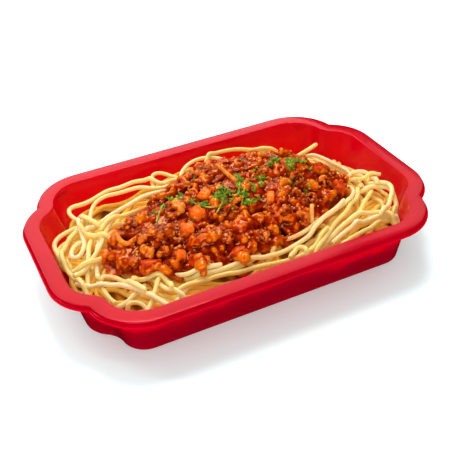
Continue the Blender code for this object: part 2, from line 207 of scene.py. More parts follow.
def drawn_skin(rings):
    """A closed body pulled up ring by ring: each ring is the last one extruded to its new place."""
    mesh = bmesh.new()
    place = mesh.verts.layers.int.new("place")
    start = [mesh.verts.new(point * MM) for point in rings[0]]
    for number, vertex in enumerate(start):
        vertex[place] = number
    loop = [mesh.edges.new(pair) for pair in zip(start, start[1:] + start[:1])]
    bmesh.ops.contextual_create(mesh, geom=loop)
    for points in rings[1:]:
        pulled = bmesh.ops.extrude_edge_only(mesh, edges=loop)["geom"]
        loop = [part for part in pulled if isinstance(part, bmesh.types.BMEdge)]
        for part in pulled:
            if isinstance(part, bmesh.types.BMVert):
                part.co = points[part[place]] * MM
    bmesh.ops.contextual_create(mesh, geom=loop)
    bmesh.ops.recalc_face_normals(mesh, faces=mesh.faces)
    return mesh


def kept(name, mesh, smooth_angle=35):
    """Puts a finished bmesh into the scene as one piece with soft shading."""
    data = bpy.data.meshes.new(name)
    mesh.to_mesh(data)
    mesh.free()
    data.shade_smooth()
    data.set_sharp_from_angle(angle=math.radians(smooth_angle))
    piece = bpy.data.objects.new(name, data)
    bpy.context.scene.collection.objects.link(piece)
    return piece


def settled(piece):
    """Applies a piece's modifiers, so its mesh is what they make."""
    graph = bpy.context.evaluated_depsgraph_get()
    data = bpy.data.meshes.new_from_object(piece.evaluated_get(graph))
    piece.modifiers.clear()
    piece.data = data


def linear(colour):
    """An sRGB hex value such as #C8102E as linear RGBA."""
    parts = [int(colour[i : i + 2], 16) / 255 for i in (1, 3, 5)]
    return [p / 12.92 if p <= 0.04045 else ((p + 0.055) / 1.055) ** 2.4 for p in parts] + [1.0]


def new_material(name):
    """A material with an empty node tree."""
    material = bpy.data.materials.new(name)
    material.use_nodes = True
    material.node_tree.nodes.clear()
    return material


def add(material, kind, sockets=(), stops=(), **settings):
    """Adds a node: its settings by name, values or links by socket, and a ramp's stops."""
    made = material.node_tree.nodes.new("ShaderNode" + kind)
    for name, value in settings.items():
        setattr(made, name, value)
    for socket, value in dict(sockets).items():
        if isinstance(value, bpy.types.NodeSocket):
            material.node_tree.links.new(value, made.inputs[socket])
        else:
            made.inputs[socket].default_value = value
    for position, _ in stops[2:]:
        made.color_ramp.elements.new(position)
    for stop, (position, colour) in zip(made.color_ramp.elements if stops else (), stops):
        stop.position = position
        stop.color = linear(colour)
    return made


def red_polypropylene():
    """Thermoformed PP: a clean saturated red right through, so red light runs far inside the sheet;
    glossy, with the faint unevenness that a drawn sheet keeps and a few fine rub marks that take the
    gloss down."""
    material = new_material("red_polypropylene")
    where = add(material, "TexCoord").outputs["Object"]
    drawn = add(material, "TexNoise", {"Vector": where, "Scale": 1000 / 28.0, "Detail": 2.0})
    rubbed = add(
        material, "TexNoise", {"Vector": where, "Scale": 1000 / 2.2, "Detail": 5.0, "Roughness": 0.7}
    )
    grain = add(material, "TexNoise", {"Vector": where, "Scale": 1000 / 0.7, "Detail": 2.0})
    reds = ((0.35, "#9E001C"), (0.65, "#A60020"))
    tint = add(material, "ValToRGB", {"Fac": drawn.outputs["Fac"]}, stops=reds)
    gloss = add(
        material,
        "MapRange",
        {"Value": rubbed.outputs["Fac"], "From Min": 0.35, "From Max": 0.75, "To Min": 0.13, "To Max": 0.2},
    )
    waves = add(material, "Bump", {"Height": drawn.outputs["Fac"], "Strength": 0.12, "Distance": 1.5 * MM})
    fine = add(
        material,
        "Bump",
        {
            "Height": grain.outputs["Fac"],
            "Normal": waves.outputs["Normal"],
            "Strength": 0.02,
            "Distance": 0.05 * MM,
        },
    )
    shader = add(
        material,
        "BsdfPrincipled",
        {
            "Base Color": tint.outputs["Color"],
            "Roughness": gloss.outputs["Result"],
            "Normal": fine.outputs["Normal"],
            "IOR": 1.49,
            "Specular IOR Level": 0.6,
            "Specular Tint": linear("#FF9595"),
            "Subsurface Weight": 1.0,
            "Subsurface Radius": (1.0, 0.04, 0.1),
            "Subsurface Scale": 11.0 * MM,
        },
    )
    add(material, "OutputMaterial", {"Surface": shader.outputs["BSDF"]})
    return material


tray_rings = [ring(outline, z) for outline, z in inner_profile() + outer_profile()]
tray = kept("tray_shell", drawn_skin(tray_rings))

# ---- Stacking lugs
# Four flats moulded across the side lobes just under the rim, each with two upright grooves, so that
# trays in a stack don't jam. They are part of the same sheet, so they are joined to it.
LUG_ANGLE = math.radians(50)
LUG_CHORD = 19.07  # from the lobe's centre to the flat
LUG_TOP, LUG_FOOT = 2.0, 6.6  # depths below the rim
LUG_DRAFT = 0.2  # how much nearer the lobe's centre the wall gets with each millimetre of depth
GROOVE_WIDTH, GROOVE_DEPTH, GROOVE_SPACING = 1.1, 0.8, 4.6
LOBE_CENTRE = Vector((MOUTH.half_x - MOUTH.cut_x - MOUTH.r_side, MOUTH.half_y - MOUTH.r_side, 0))


def lug_ring(depth):
    """A chord flat with an arc behind it in the middle of the wall."""
    radius = MOUTH.r_side + SHEET / 2 - LUG_DRAFT * depth
    spread = math.acos(LUG_CHORD / radius)
    back = arc(Vector((0, 0)), radius, LUG_ANGLE - spread, LUG_ANGLE + spread, 12)
    return [LOBE_CENTRE + Vector((p.x, p.y, HEIGHT - depth)) for p in back]


def join_lug(side_x, side_y):
    """Cuts the grooves into one lug and joins it to the tray, in the corner that the signs name."""
    depth = LUG_FOOT - LUG_TOP
    lug = drawn_skin([lug_ring(LUG_TOP), lug_ring(LUG_FOOT)])
    turned = Matrix.Translation(LOBE_CENTRE) @ Matrix.Rotation(LUG_ANGLE, 4, "Z")
    mirrored = Matrix.Diagonal((side_x, side_y, 1, 1))
    bmesh.ops.transform(lug, matrix=mirrored, verts=lug.verts)
    bmesh.ops.recalc_face_normals(lug, faces=lug.faces)
    lug_piece = kept("lug", lug)
    used = [lug_piece]
    for side in (-1, 1):
        groove = bmesh.new()
        bmesh.ops.create_cube(groove, size=1.0)
        size = Matrix.Diagonal((GROOVE_DEPTH * 2, GROOVE_WIDTH, depth * 2, 1))
        place = Vector((LUG_CHORD, side * GROOVE_SPACING / 2, HEIGHT - LUG_TOP - 0.5 - depth))
        matrix = Matrix.Scale(MM, 4) @ mirrored @ turned @ Matrix.Translation(place) @ size
        bmesh.ops.transform(groove, matrix=matrix, verts=groove.verts)
        bmesh.ops.recalc_face_normals(groove, faces=groove.faces)
        used.append(kept("groove", groove))
        cut = lug_piece.modifiers.new("groove", "BOOLEAN")
        cut.operation = "DIFFERENCE"
        cut.object = used[-1]
    settled(lug_piece)
    union = tray.modifiers.new("lug", "BOOLEAN")
    union.operation = "UNION"
    union.object = lug_piece
    settled(tray)
    for piece in used:
        bpy.data.objects.remove(piece)


for side_x in (-1, 1):
    for side_y in (-1, 1):
        join_lug(side_x, side_y)
tray.data.shade_smooth()
tray.data.set_sharp_from_angle(angle=math.radians(35))
tray.data.materials.clear()
tray.data.materials.append(red_polypropylene())
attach(tray, "root")
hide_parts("tray")

# ---- Spaghetti underneath
# The lower part of the heap, which the strands on top hide but for a dark chink here and there: the
# CAD body let down so that the real strands have room, packed too tightly to show single ones.
STRAND = 1.32  # half a boiled strand's thickness
UNDER = 6.5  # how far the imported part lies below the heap's top
FAR_LEFT_DIP = 8.0  # and how much farther along the far left wall
LOWEST = 9.0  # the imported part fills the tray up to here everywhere
CELL = 0.6  # spacing of the height map that strands are laid on
across_x = np.arange(-104.4, 104.5, CELL)
across_y = np.arange(-66.6, 66.7, CELL)
field_x, field_y = np.meshgrid(across_x, across_y, indexing="ij")


def ease(low, high, value):
    """0 up to the low value, 1 from the high one on, with a soft S between them."""
    share = np.clip((value - low) / (high - low), 0.0, 1.0)
    return share * share * (3 - 2 * share)


def far_left_dip(x, y):
    """The heap lies lower along the far left wall, so that single strands stand free of it there."""
    return FAR_LEFT_DIP * ease(-4.0, -20.0, x) * ease(30.0, 46.0, y - 0.22 * x)


def cad_surface(node):
    """A tree for asking a CAD node's surface for heights."""
    whole = bmesh.new()
    whole.from_mesh(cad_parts[node].data)
    tree = BVHTree.FromBMesh(whole)
    whole.free()
    return tree


def top_of(tree, x, y, missing):
    """A surface's height at a place, or the missing value beside it."""
    hit = tree.ray_cast(Vector((x, y, 100.0)) * MM, Vector((0, 0, -1)))[0]
    return missing if hit is None else hit.z / MM


def merged_copy(node):
    """A CAD node's mesh as a bmesh of its own, with its loose triangles joined."""
    mesh = bmesh.new()
    mesh.from_mesh(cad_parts[node].data)
    bmesh.ops.remove_doubles(mesh, verts=mesh.verts, dist=0.01 * MM)
    return mesh


heap = cad_surface("spaghetti")
heap_top = np.array([[top_of(heap, x, y, 0.0) for y in across_y] for x in across_x])
for _ in range(16):  # carries the level on over the rim of the map, where there is no heap
    around = [np.roll(heap_top, shift, axis) for shift in (-1, 1) for axis in (0, 1)]
    heap_top = np.where(heap_top > 0, heap_top, np.max(around, axis=0))
bed = merged_copy("spaghetti")
# A little smaller than the CAD body and off the tray's floor, so that it nowhere cuts into the sheet.
bmesh.ops.scale(bed, vec=(0.972, 0.965, 1.0), verts=bed.verts)
bmesh.ops.translate(bed, vec=(0, 0, 0.3 * MM), verts=bed.verts)
for vertex in bed.verts:
    if vertex.co.z > LOWEST * MM:
        down = UNDER + far_left_dip(vertex.co.x / MM, vertex.co.y / MM)
        vertex.co.z = max(vertex.co.z - down * MM, LOWEST * MM)
packed_spaghetti = kept("spaghetti_packed_below", bed, 60)


def packed_noodle():
    """Boiled durum wheat deep in the heap: the same starchy yellow, painted darker as the shade of the
    strands above, with ridges about as wide as a strand whose valleys are painted darker still."""
    material = new_material("packed_boiled_spaghetti")
    where = add(material, "TexCoord").outputs["Object"]
    winding = add(material, "TexNoise", {"Vector": where, "Scale": 1000 / 30.0, "Distortion": 1.5})
    ridges = add(
        material,
        "TexWave",
        {"Vector": where, "Scale": 1000 / 26.0, "Distortion": 9.0, "Detail": 1.0, "Detail Scale": 0.8},
    )
    # Painted shade: brown-orange in the wave's valleys up to yellow on its crests, for the shade between and
    # under strands.
    yellows = ((0.2, "#A05C10"), (0.9, "#E8AC40"))
    tint = add(material, "ValToRGB", {"Fac": ridges.outputs["Fac"]}, stops=yellows)
    lift = add(material, "Bump", {"Height": ridges.outputs["Fac"], "Strength": 1.0, "Distance": 1.2 * MM})
    uneven = add(material, "MapRange", {"Value": winding.outputs["Fac"], "To Min": 0.3, "To Max": 0.55})
    shader = add(
        material,
        "BsdfPrincipled",
        {
            "Base Color": tint.outputs["Color"],
            "Roughness": uneven.outputs["Result"],
            "Normal": lift.outputs["Normal"],
        },
    )
    add(material, "OutputMaterial", {"Surface": shader.outputs["BSDF"]})
    return material


packed_spaghetti.data.materials.append(packed_noodle())
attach(packed_spaghetti, "root")
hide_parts("spaghetti")

# ---- Spaghetti strands
# Boiled spaghetti, 2.6 mm thick, limp and slippery. Each strand is one round tube with cut ends, laid
# on those before it: most run round the tray beside each other, and the last ones lie as they fell.
random_strands = np.random.default_rng(7)


def wall_distances(z):
    """How far each point of the map is inside the tray's inner wall at a height."""
    plan = np.array([point[:2] for point in ring(inner_wall(z), z)])
    nearest = np.full(field_x.shape, 1e9)
    inside = np.zeros(field_x.shape, bool)
    for (ax, ay), (bx, by) in zip(plan, np.roll(plan, -1, axis=0)):
        dx, dy = bx - ax, by - ay
        share = np.clip(((field_x - ax) * dx + (field_y - ay) * dy) / (dx * dx + dy * dy), 0, 1)
        nearest = np.minimum(nearest, np.hypot(field_x - ax - share * dx, field_y - ay - share * dy))
        crossed = (ay > field_y) != (by > field_y)
        inside ^= crossed & (field_x < (bx - ax) * (field_y - ay) / (by - ay + 1e-12) + ax)
    return np.where(inside, nearest, -nearest)


WALL_Z = 24.0  # the height that the map of distances from the wall is made for
WALL_SLOPE = (MOUTH.half_x - BASE.half_x + SHEET) / (HEIGHT - SHEET)  # how fast the wall opens with height
WALL_CLEARANCE = STRAND + 0.25
wall_gap = wall_distances(WALL_Z)
slope_x, slope_y = np.gradient(wall_gap, CELL)

# The sauce's plan is a long oval with blunt ends, that leans towards the tray's front on the left.
SAUCE_HALF_LENGTH, SAUCE_HALF_WIDTH = 77.0, 43.0
SAUCE_END, SAUCE_SIDE = 2.2, 1.8  # how blunt its ends and its sides are


def sauce_middle(x):
    """Where the middle of the sauce lies across the tray."""
    along = x / SAUCE_HALF_LENGTH
    return -1.0 - 13.0 * np.maximum(-along, 0.0) + 2.5 * np.maximum(along, 0.0)


def sauce_half_width(x):
    """Half the sauce's width, which grows less towards both ends."""
    slim = np.where(x < 0, 0.24, 0.12)
    return SAUCE_HALF_WIDTH * (1 - slim * ease(0.0, 60.0, np.abs(x)))


def sauce_share(x, y):
    """0 in the middle of the sauce, 1 at its edge, more outside it."""
    along = np.abs(x) / SAUCE_HALF_LENGTH
    across = np.abs(y - sauce_middle(x)) / sauce_half_width(x)
    return (along**SAUCE_END + across**SAUCE_SIDE) ** (1 / SAUCE_END)


def cell_of(path):
    """The map's cells that a path runs through."""
    column = np.clip(np.rint((path[..., 0] - across_x[0]) / CELL).astype(int), 3, len(across_x) - 4)
    row = np.clip(np.rint((path[..., 1] - across_y[0]) / CELL).astype(int), 3, len(across_y) - 4)
    return column, row


# The cells that a strand covers, and how high its round back stands over each of them.
reach = range(-2, 3)
touching = []
for i in reach:
    for j in reach:
        aside = (i * i + j * j) * CELL**2
        if aside < STRAND**2:
            touching.append((i, j, math.sqrt(STRAND**2 - aside)))
# The ground is what the next strand comes to lie on, and no strand laid by rule rises over the ceiling.
dip = far_left_dip(field_x, field_y)
ground = np.maximum(heap_top - UNDER - dip + 0.5, LOWEST)
under_sauce = sauce_share(field_x, field_y)
ceiling = heap_top + 0.9 - dip
ceiling[under_sauce < 0.97] -= 1.0


def support_under(path):
    """The lowest that a strand's middle can lie at each point, resting on what is there."""
    column, row = cell_of(path)
    return np.max([ground[column + i, row + j] + rise for i, j, rise in touching], axis=0)


def clear_of_wall(strand):
    """Moves a strand in where it stands too close to the wall."""
    column, row = cell_of(strand)
    gap = wall_gap[column, row] + (strand[:, 2] - WALL_Z) * WALL_SLOPE
    push = np.maximum(WALL_CLEARANCE - gap, 0.0)
    strand[:, 0] += slope_x[column, row] * push
    strand[:, 1] += slope_y[column, row] * push
    strand[1:-1, :2] = (strand[:-2, :2] + strand[1:-1, :2] + strand[2:, :2]) / 3


def laid(path, wish=None, limp=130):
    """Lays a path down: it rests on the heap, bends softly over what it crosses, clears the wall."""
    support = support_under(path)
    z = support if wish is None else np.maximum(support, wish)
    for _ in range(limp):
        z[1:-1] = (z[:-2] + 2 * z[1:-1] + z[2:]) / 4
        z = np.maximum(z, support)
    strand = np.column_stack([path, z])
    clear_of_wall(strand)
    return strand


def add_to_heap(strand):
    """Raises the ground to a strand's back."""
    column, row = cell_of(strand)
    for i, j, rise in touching:
        np.maximum.at(ground, (column + i, row + j), strand[:, 2] + rise)


def stepped(path, step):
    """The same path with points at an even spacing."""
    length = np.concatenate([[0], np.cumsum(np.linalg.norm(np.diff(path, axis=0), axis=1))])
    marks = np.linspace(0, length[-1], max(int(length[-1] / step), 2) + 1)
    return np.column_stack([np.interp(marks, length, path[:, k]) for k in range(path.shape[1])])


def rounded(points, rounds=3, soft=30):
    """A given route with its corners cut off again and again until it is a soft curve."""
    path = np.array(points, float)
    for _ in range(rounds):
        near = path[:-1] * 0.75 + path[1:] * 0.25
        far = path[:-1] * 0.25 + path[1:] * 0.75
        path = np.vstack([path[:1], np.stack([near, far], axis=1).reshape(-1, path.shape[1]), path[-1:]])
    path = stepped(path, CELL)
    for _ in range(soft):
        path[1:-1] = (path[:-2] + 2 * path[1:-1] + path[2:]) / 4
    return path


def wandering(start, heading, steps, sign):
    """Paths that set out together, one a row of start: they follow the wall loosely, turn gently,
    and keep off the wall and the middle of the sauce."""
    step = 1.5
    tightest = 0.13  # how sharply a limp strand turns, in radians a millimetre
    restless, settles_in = 0.24, 26  # how much its way drifts, and the length over which that fades
    turns_in = 9.0  # the length over which it would take up the way it wants
    place, turn = start.copy(), np.zeros(len(start))
    drift = random_strands.normal(0, 0.5, len(start))
    trail = [place.copy()]
    for _ in range(steps):
        column, row = cell_of(place)
        inward = np.arctan2(slope_y[column, row], slope_x[column, row])
        gap = wall_gap[column, row]
        share = sauce_share(place[:, 0], place[:, 1])
        along = inward - sign * math.pi / 2
        wanted = along + sign * (ease(5.0, 1.5, gap) * 0.9 - ease(0.98, 0.82, share) * 0.8)
        nudge = random_strands.normal(0, restless, len(start)) * math.sqrt(step)
        drift += -drift * step / settles_in + nudge
        error = (wanted + drift * ease(1.0, 6.0, gap) - heading + math.pi) % math.tau - math.pi
        turn += (np.clip(error / turns_in, -tightest, tightest) - turn) * 0.4
        heading = heading + turn * step
        place = place + np.stack([np.cos(heading), np.sin(heading)], axis=1) * step
        trail.append(place.copy())
    return np.stack(trail, axis=1)


def beside(path, offset):
    """A path that keeps a strand's distance from another one, drifting a little nearer and away."""
    way = np.gradient(path[:, :2], axis=0)
    way /= np.linalg.norm(way, axis=1, keepdims=True) + 1e-9
    length = len(path)
    drift = offset * (1.0 + 0.16 * np.sin(np.arange(length) * 0.035 + offset * 3.0))
    moved = path[:, :2] + np.column_stack([-way[:, 1], way[:, 0]]) * drift[:, None]
    for _ in range(12):
        moved[1:-1] = (moved[:-2] + 2 * moved[1:-1] + moved[2:]) / 4
    return stepped(moved, CELL)


# The strands that lie on top, in the order that they fell: x, y and height of given points.
LAST_TO_FALL = (
    ((96, -2, 20), (92, -6, 20), (88, -17, 22), (83, -22, 23), (74, -29, 25), (66, -37, 25),
     (58, -43, 25)),
    ((83, -50, 19), (89, -41, 21), (93, -33, 23), (97, -23, 24), (94, -20, 24), (88, -17, 23),
     (76, -17, 23)),
    ((43, -54, 22), (57, -50, 22), (66, -48, 21), (73, -45, 20), (80, -47, 19), (88, -40, 19)),
    ((38, -52, 23), (50, -47, 24), (59, -45, 24), (67, -43, 23), (76, -43, 21), (84, -48, 19)),
    ((28, -55, 24), (40, -48, 24), (48, -44, 25), (56, -42, 27), (64, -40, 26), (72, -39, 24),
     (78, -42, 22), (81, -47, 20), (80, -54, 19)),
    ((24, -57, 23), (35, -50, 25), (46, -40, 26), (58, -36, 28), (64, -29, 27), (72, -25, 25),
     (78, -16, 24)),
    ((74, -45, 21), (80, -42, 23), (84, -39, 25), (89, -34, 26), (94, -29, 27), (96.5, -21, 27),
     (93, -18, 24), (88, -13, 22)),
    ((72, 25, 26), (80, 12, 24), (83, 4, 23), (84, -6, 22), (80, -16, 22)),
    ((56, 30, 27), (69, 29, 28), (76, 24, 27), (78, 17, 25), (80, 12, 24), (84, 4, 24), (82, -8, 22)),
    ((72, -8, 25), (80, -3, 25), (85, -2, 28), (91, -5, 28), (93, -10, 25), (90, -19, 21)),
    ((66, -1, 26), (72, -2, 27), (75, -7, 26), (81, -9, 25), (87, -9, 25), (93, -9, 25), (97, -12, 27)),
    ((4, -36, 24), (14, -41, 26), (24, -42, 28), (30, -41, 29), (37, -38, 30), (46, -35, 29),
     (57, -30, 28), (64, -28, 28), (71, -22, 26), (76, -15, 25), (75, -11, 26), (69, -14, 27)),
    ((-56, -57, 25), (-50, -52, 25), (-40, -47, 26), (-29, -48, 25), (-20, -50, 26), (-13, -48, 26),
     (-2, -44, 25)),
    ((-54, -51, 26), (-44, -51, 26), (-31, -50, 25), (-20, -53, 26), (-10, -54, 27), (3, -56, 26),
     (15, -56, 25), (26, -53, 25), (40, -44, 25)),
    ((-50, -36, 22), (-42, -44, 24), (-34, -48, 26), (-22, -49, 27), (-9, -47, 26), (7, -49, 25),
     (21, -47, 27), (30, -44, 27), (40, -39, 28), (50, -35, 28), (60, -29, 27)),
    ((9, -57, 24), (13, -54, 24), (16, -50, 27), (19, -49, 28), (21, -52, 25), (19, -58, 23)),
    ((-84, -42, 20), (-78, -43, 22), (-72, -41, 23), (-65, -36, 24)),
    ((-79, -46, 19), (-77, -44, 22), (-73, -45, 24), (-70, -50, 23), (-70, -55, 20)),
    ((-86, -22, 24), (-86, -31, 26), (-85, -37, 24), (-83, -42, 20)),
    ((-60, -35, 24), (-59, -41, 26), (-57, -48, 26), (-53, -54, 25), (-51, -59, 22)),
    ((-54, -32, 24), (-57, -37, 26), (-61, -43, 27), (-66, -49, 24), (-71, -55, 20)),
    ((-97, -19, 25), (-91, -26, 26), (-86, -29, 25), (-81, -30, 26), (-76, -32, 26), (-70, -42, 27),
     (-64, -52, 26), (-60, -60, 25)),
    ((-85, -25, 24), (-84, -20, 24), (-79, -21, 25), (-75, -27, 25), (-72, -36, 25), (-68, -46, 25)),
    ((-71, -36, 26), (-63, -34, 27), (-56, -37, 26), (-54, -43, 26), (-56, -52, 24)),
    ((-86, -25, 22), (-84, -14, 25), (-81, -5, 26), (-78, 4, 26), (-72, 12, 27)),
    ((-91, -20, 22), (-88, -10, 24), (-84, -1, 26), (-82, 7, 26), (-77, 14, 26)),
    ((-82, 24, 24), (-87, 21, 24), (-92, 21, 23), (-96, 19, 22), (-99, 13, 22), (-98, 2, 22)),
    ((-73, 28, 27), (-83, 28, 26), (-89, 28, 25), (-94, 27, 24), (-97.5, 24, 23), (-98.5, 15, 22),
     (-98, 3, 24)),
    ((-76, 30, 28), (-84, 23, 26), (-92, 18, 23), (-96, 11, 24), (-98, 2, 24), (-97, -8, 23),
     (-95, -17, 24), (-94, -30, 24)),
    ((-80, 30, 28), (-81, 25, 26), (-82, 14, 26), (-84, 6, 26), (-88, 2, 25), (-92, 1, 25), (-93, 5, 25),
     (-89, 13, 25), (-84, 15, 25)),
    ((-61, 22, 30), (-67, 16, 29), (-73, 7, 28), (-79, -3, 28), (-87, -10, 26), (-96.5, -16, 26)),
    ((-81, 22, 27), (-78, 12, 29), (-73, 9, 29), (-69, 6, 29), (-69, -1, 29), (-73, -7, 29),
     (-80, -9.5, 28), (-88, -10, 27), (-96, -10, 25)),
    ((-10, 46, 27), (-6, 53, 27), (1, 58, 28), (9, 60, 28), (17, 57, 28), (22, 53, 27), (25, 46, 26)),
    ((36, 52, 22), (43, 52, 24), (48, 51, 26), (53, 51, 25), (56, 46, 23)),
    ((8, 50, 27), (13, 57, 28), (19, 60, 28.5), (29, 60, 28), (38, 57, 28), (46, 52, 26), (55, 50, 22),
     (62, 44, 22)),
    ((-15, 40, 28), (-26, 39, 28), (-32, 42, 29), (-35, 49, 27), (-42, 52, 25), (-50, 50, 26),
     (-56, 51, 27), (-65, 48, 26), (-71, 37, 27), (-74, 28, 26), (-75, 20, 24)),
    ((-28, 46, 26), (-27, 53, 28), (-24, 57, 29), (-19, 56, 28.5), (-15, 52, 27), (-12, 44, 27)),
    ((-25, 34, 29), (-37, 36, 29), (-49, 32, 28), (-62, 29, 27), (-71, 24, 26), (-79, 17, 25)),
    ((-14, 39, 28), (-24, 44, 28), (-30, 54, 27), (-37, 58, 26.5), (-46, 55, 26), (-54, 56, 27),
     (-63, 52, 26), (-73, 50, 25), (-79, 51.5, 26), (-82, 48, 25), (-81, 38, 26), (-76, 27, 26),
     (-70, 19, 26)),
    ((-28, 22, 31), (-37, 21, 31), (-46, 19, 32), (-57, 20, 30), (-66, 19, 29), (-72, 13, 30)),
    ((-57, -24, 26), (-66, -27, 27), (-63, -32, 27), (-54, -37, 27), (-45, -41, 26), (-36, -46, 25),
     (-26, -47, 24)),
    ((50, 22, 29), (57, 26, 30), (68, 29, 30.5), (79, 33, 31)),
)
last_to_fall = [rounded(points) for points in LAST_TO_FALL]
for route in last_to_fall:
    column, row = cell_of(route)
    for i in reach:
        for j in reach:
            np.minimum.at(ceiling, (column + i, row + j), route[:, 2] - STRAND * 0.8)

open_band = (wall_gap > STRAND + 0.3) & (under_sauce > 0.86)  # where strands set out
strands = []
DIPPING_END = 7.0  # the length of an end that dips in among the other strands
ASIDE = 2.8  # between the middles of two strands that lie side by side
TRIALS, AT_ONCE = 700, 16  # how often a new strand is tried, out of how many that set out


def worth(path):
    """How much of the room under the ceiling a path would fill, less for standing over it."""
    room = ceiling[cell_of(path)] - support_under(path) - STRAND
    through_wall = np.maximum(STRAND - 0.5 - wall_gap[cell_of(path)], 0.0)
    return float(np.mean(np.where(room < 0, room * 5.0, np.minimum(room, 3.0)) - 6.0 * through_wall))


def keep_strand(path, wish=None, limp=130, sunk=3.0):
    """Lays a strand for good. Its ends dip in among the others by the given depth."""
    strand = laid(path, wish, limp)
    add_to_heap(strand)
    from_end = np.minimum(np.arange(len(strand)), np.arange(len(strand))[::-1]) * CELL
    strand[:, 2] -= sunk * np.clip(1 - from_end / DIPPING_END, 0, 1) ** 2
    for _ in range(3):
        clear_of_wall(strand)
    strands.append(strand)


for trial in range(TRIALS):
    room = np.where(open_band, np.clip(ceiling - ground - 2.2 * STRAND, 0, None), 0) ** 2
    chance = np.cumsum(room.ravel())
    if chance[-1] < 1.0:
        break
    picks = np.searchsorted(chance, random_strands.uniform(0, chance[-1], AT_ONCE))
    start = np.column_stack([field_x.ravel()[picks], field_y.ravel()[picks]])
    sign = random_strands.choice([-1.0, 1.0])
    column, row = cell_of(start)
    heading = np.arctan2(slope_y[column, row], slope_x[column, row]) - sign * math.pi / 2
    heading += random_strands.normal(0, 0.6, len(start))
    trails = wandering(start, heading, int(random_strands.uniform(40, 150 - trial * 0.13)), sign)
    best = max((stepped(rounded(trail, 2), CELL) for trail in trails), key=worth)
    if worth(best) < 0.2:
        continue
    keep_strand(best)
    for side in (-1, 1):
        for number in (1, 2):
            neighbour = beside(best, side * number * random_strands.uniform(2.7, 3.1))
            if worth(neighbour) > 0.2:
                keep_strand(neighbour)

count_below = len(strands)
for route in last_to_fall:
    for offset in (-ASIDE, ASIDE):
        neighbour = beside(route, offset)
        if len(route) > 90 and worth(neighbour) > -0.9:
            keep_strand(neighbour)
for route in last_to_fall:
    keep_strand(route[:, :2], route[:, 2], limp=40, sunk=0.0)


def tubes(name, laid_strands, radius, step, sides):
    """Strands as round tubes with cut ends, joined into one mesh."""
    curve = bpy.data.curves.new(name, "CURVE")
    curve.dimensions = "3D"
    curve.bevel_depth = radius * MM
    curve.bevel_resolution = (sides - 4) // 2
    curve.use_fill_caps = True
    for strand in laid_strands:
        points = stepped(strand, step)
        spline = curve.splines.new("POLY")
        spline.points.add(len(points) - 1)
        spline.points.foreach_set("co", np.column_stack([points * MM, np.ones(len(points))]).ravel())
        # Each strand has its own thickness and swells a little along it, and its cut ends draw in.
        own_size = 1 + 0.07 * math.sin(points[0, 0] * 7.0 + points[-1, 1] * 3.0)
        swelling = own_size + 0.03 * np.sin(np.arange(len(points)) * 0.21 + points[0, 0])
        swelling[[0, -1]] *= 0.86
        spline.points.foreach_set("radius", swelling)
    shape = bpy.data.objects.new(name, curve)
    bpy.context.scene.collection.objects.link(shape)
    data = bpy.data.meshes.new_from_object(shape.evaluated_get(bpy.context.evaluated_depsgraph_get()))
    bpy.data.objects.remove(shape)
    mesh = bmesh.new()
    mesh.from_mesh(data)
    bmesh.ops.remove_doubles(mesh, verts=mesh.verts, dist=0.02 * MM)
    return kept(name, mesh, 60)


def mark_strands(piece, laid_strands):
    """Gives each point its strand's own tone, how deep it lies, for the painted shade deep in the heap, and
    how much sauce has stained it.
    """
    tree = kdtree.KDTree(sum(len(s) for s in laid_strands))
    tones = []
    for number, strand in enumerate(laid_strands):
        for point in strand:
            tree.insert(Vector(point) * MM, len(tones))
            tones.append((number * 0.618) % 1.0)
    tree.balance()
    tone = piece.data.attributes.new("tone", "FLOAT", "POINT")
    depth = piece.data.attributes.new("depth", "FLOAT", "POINT")
    stain = piece.data.attributes.new("stain", "FLOAT", "POINT")
    points = np.array([vertex.co for vertex in piece.data.vertices]) / MM
    tone.data.foreach_set("value", [tones[tree.find(vertex.co)[1]] for vertex in piece.data.vertices])
    column, row = cell_of(points)
    deep = np.clip((heap_top[column, row] + 1.5 - points[:, 2]) / 4.5, 0, 1)
    depth.data.foreach_set("value", deep)
    share = sauce_share(points[:, 0], points[:, 1])
    stain.data.foreach_set("value", 1 - ease(0.98, 1.14, share))


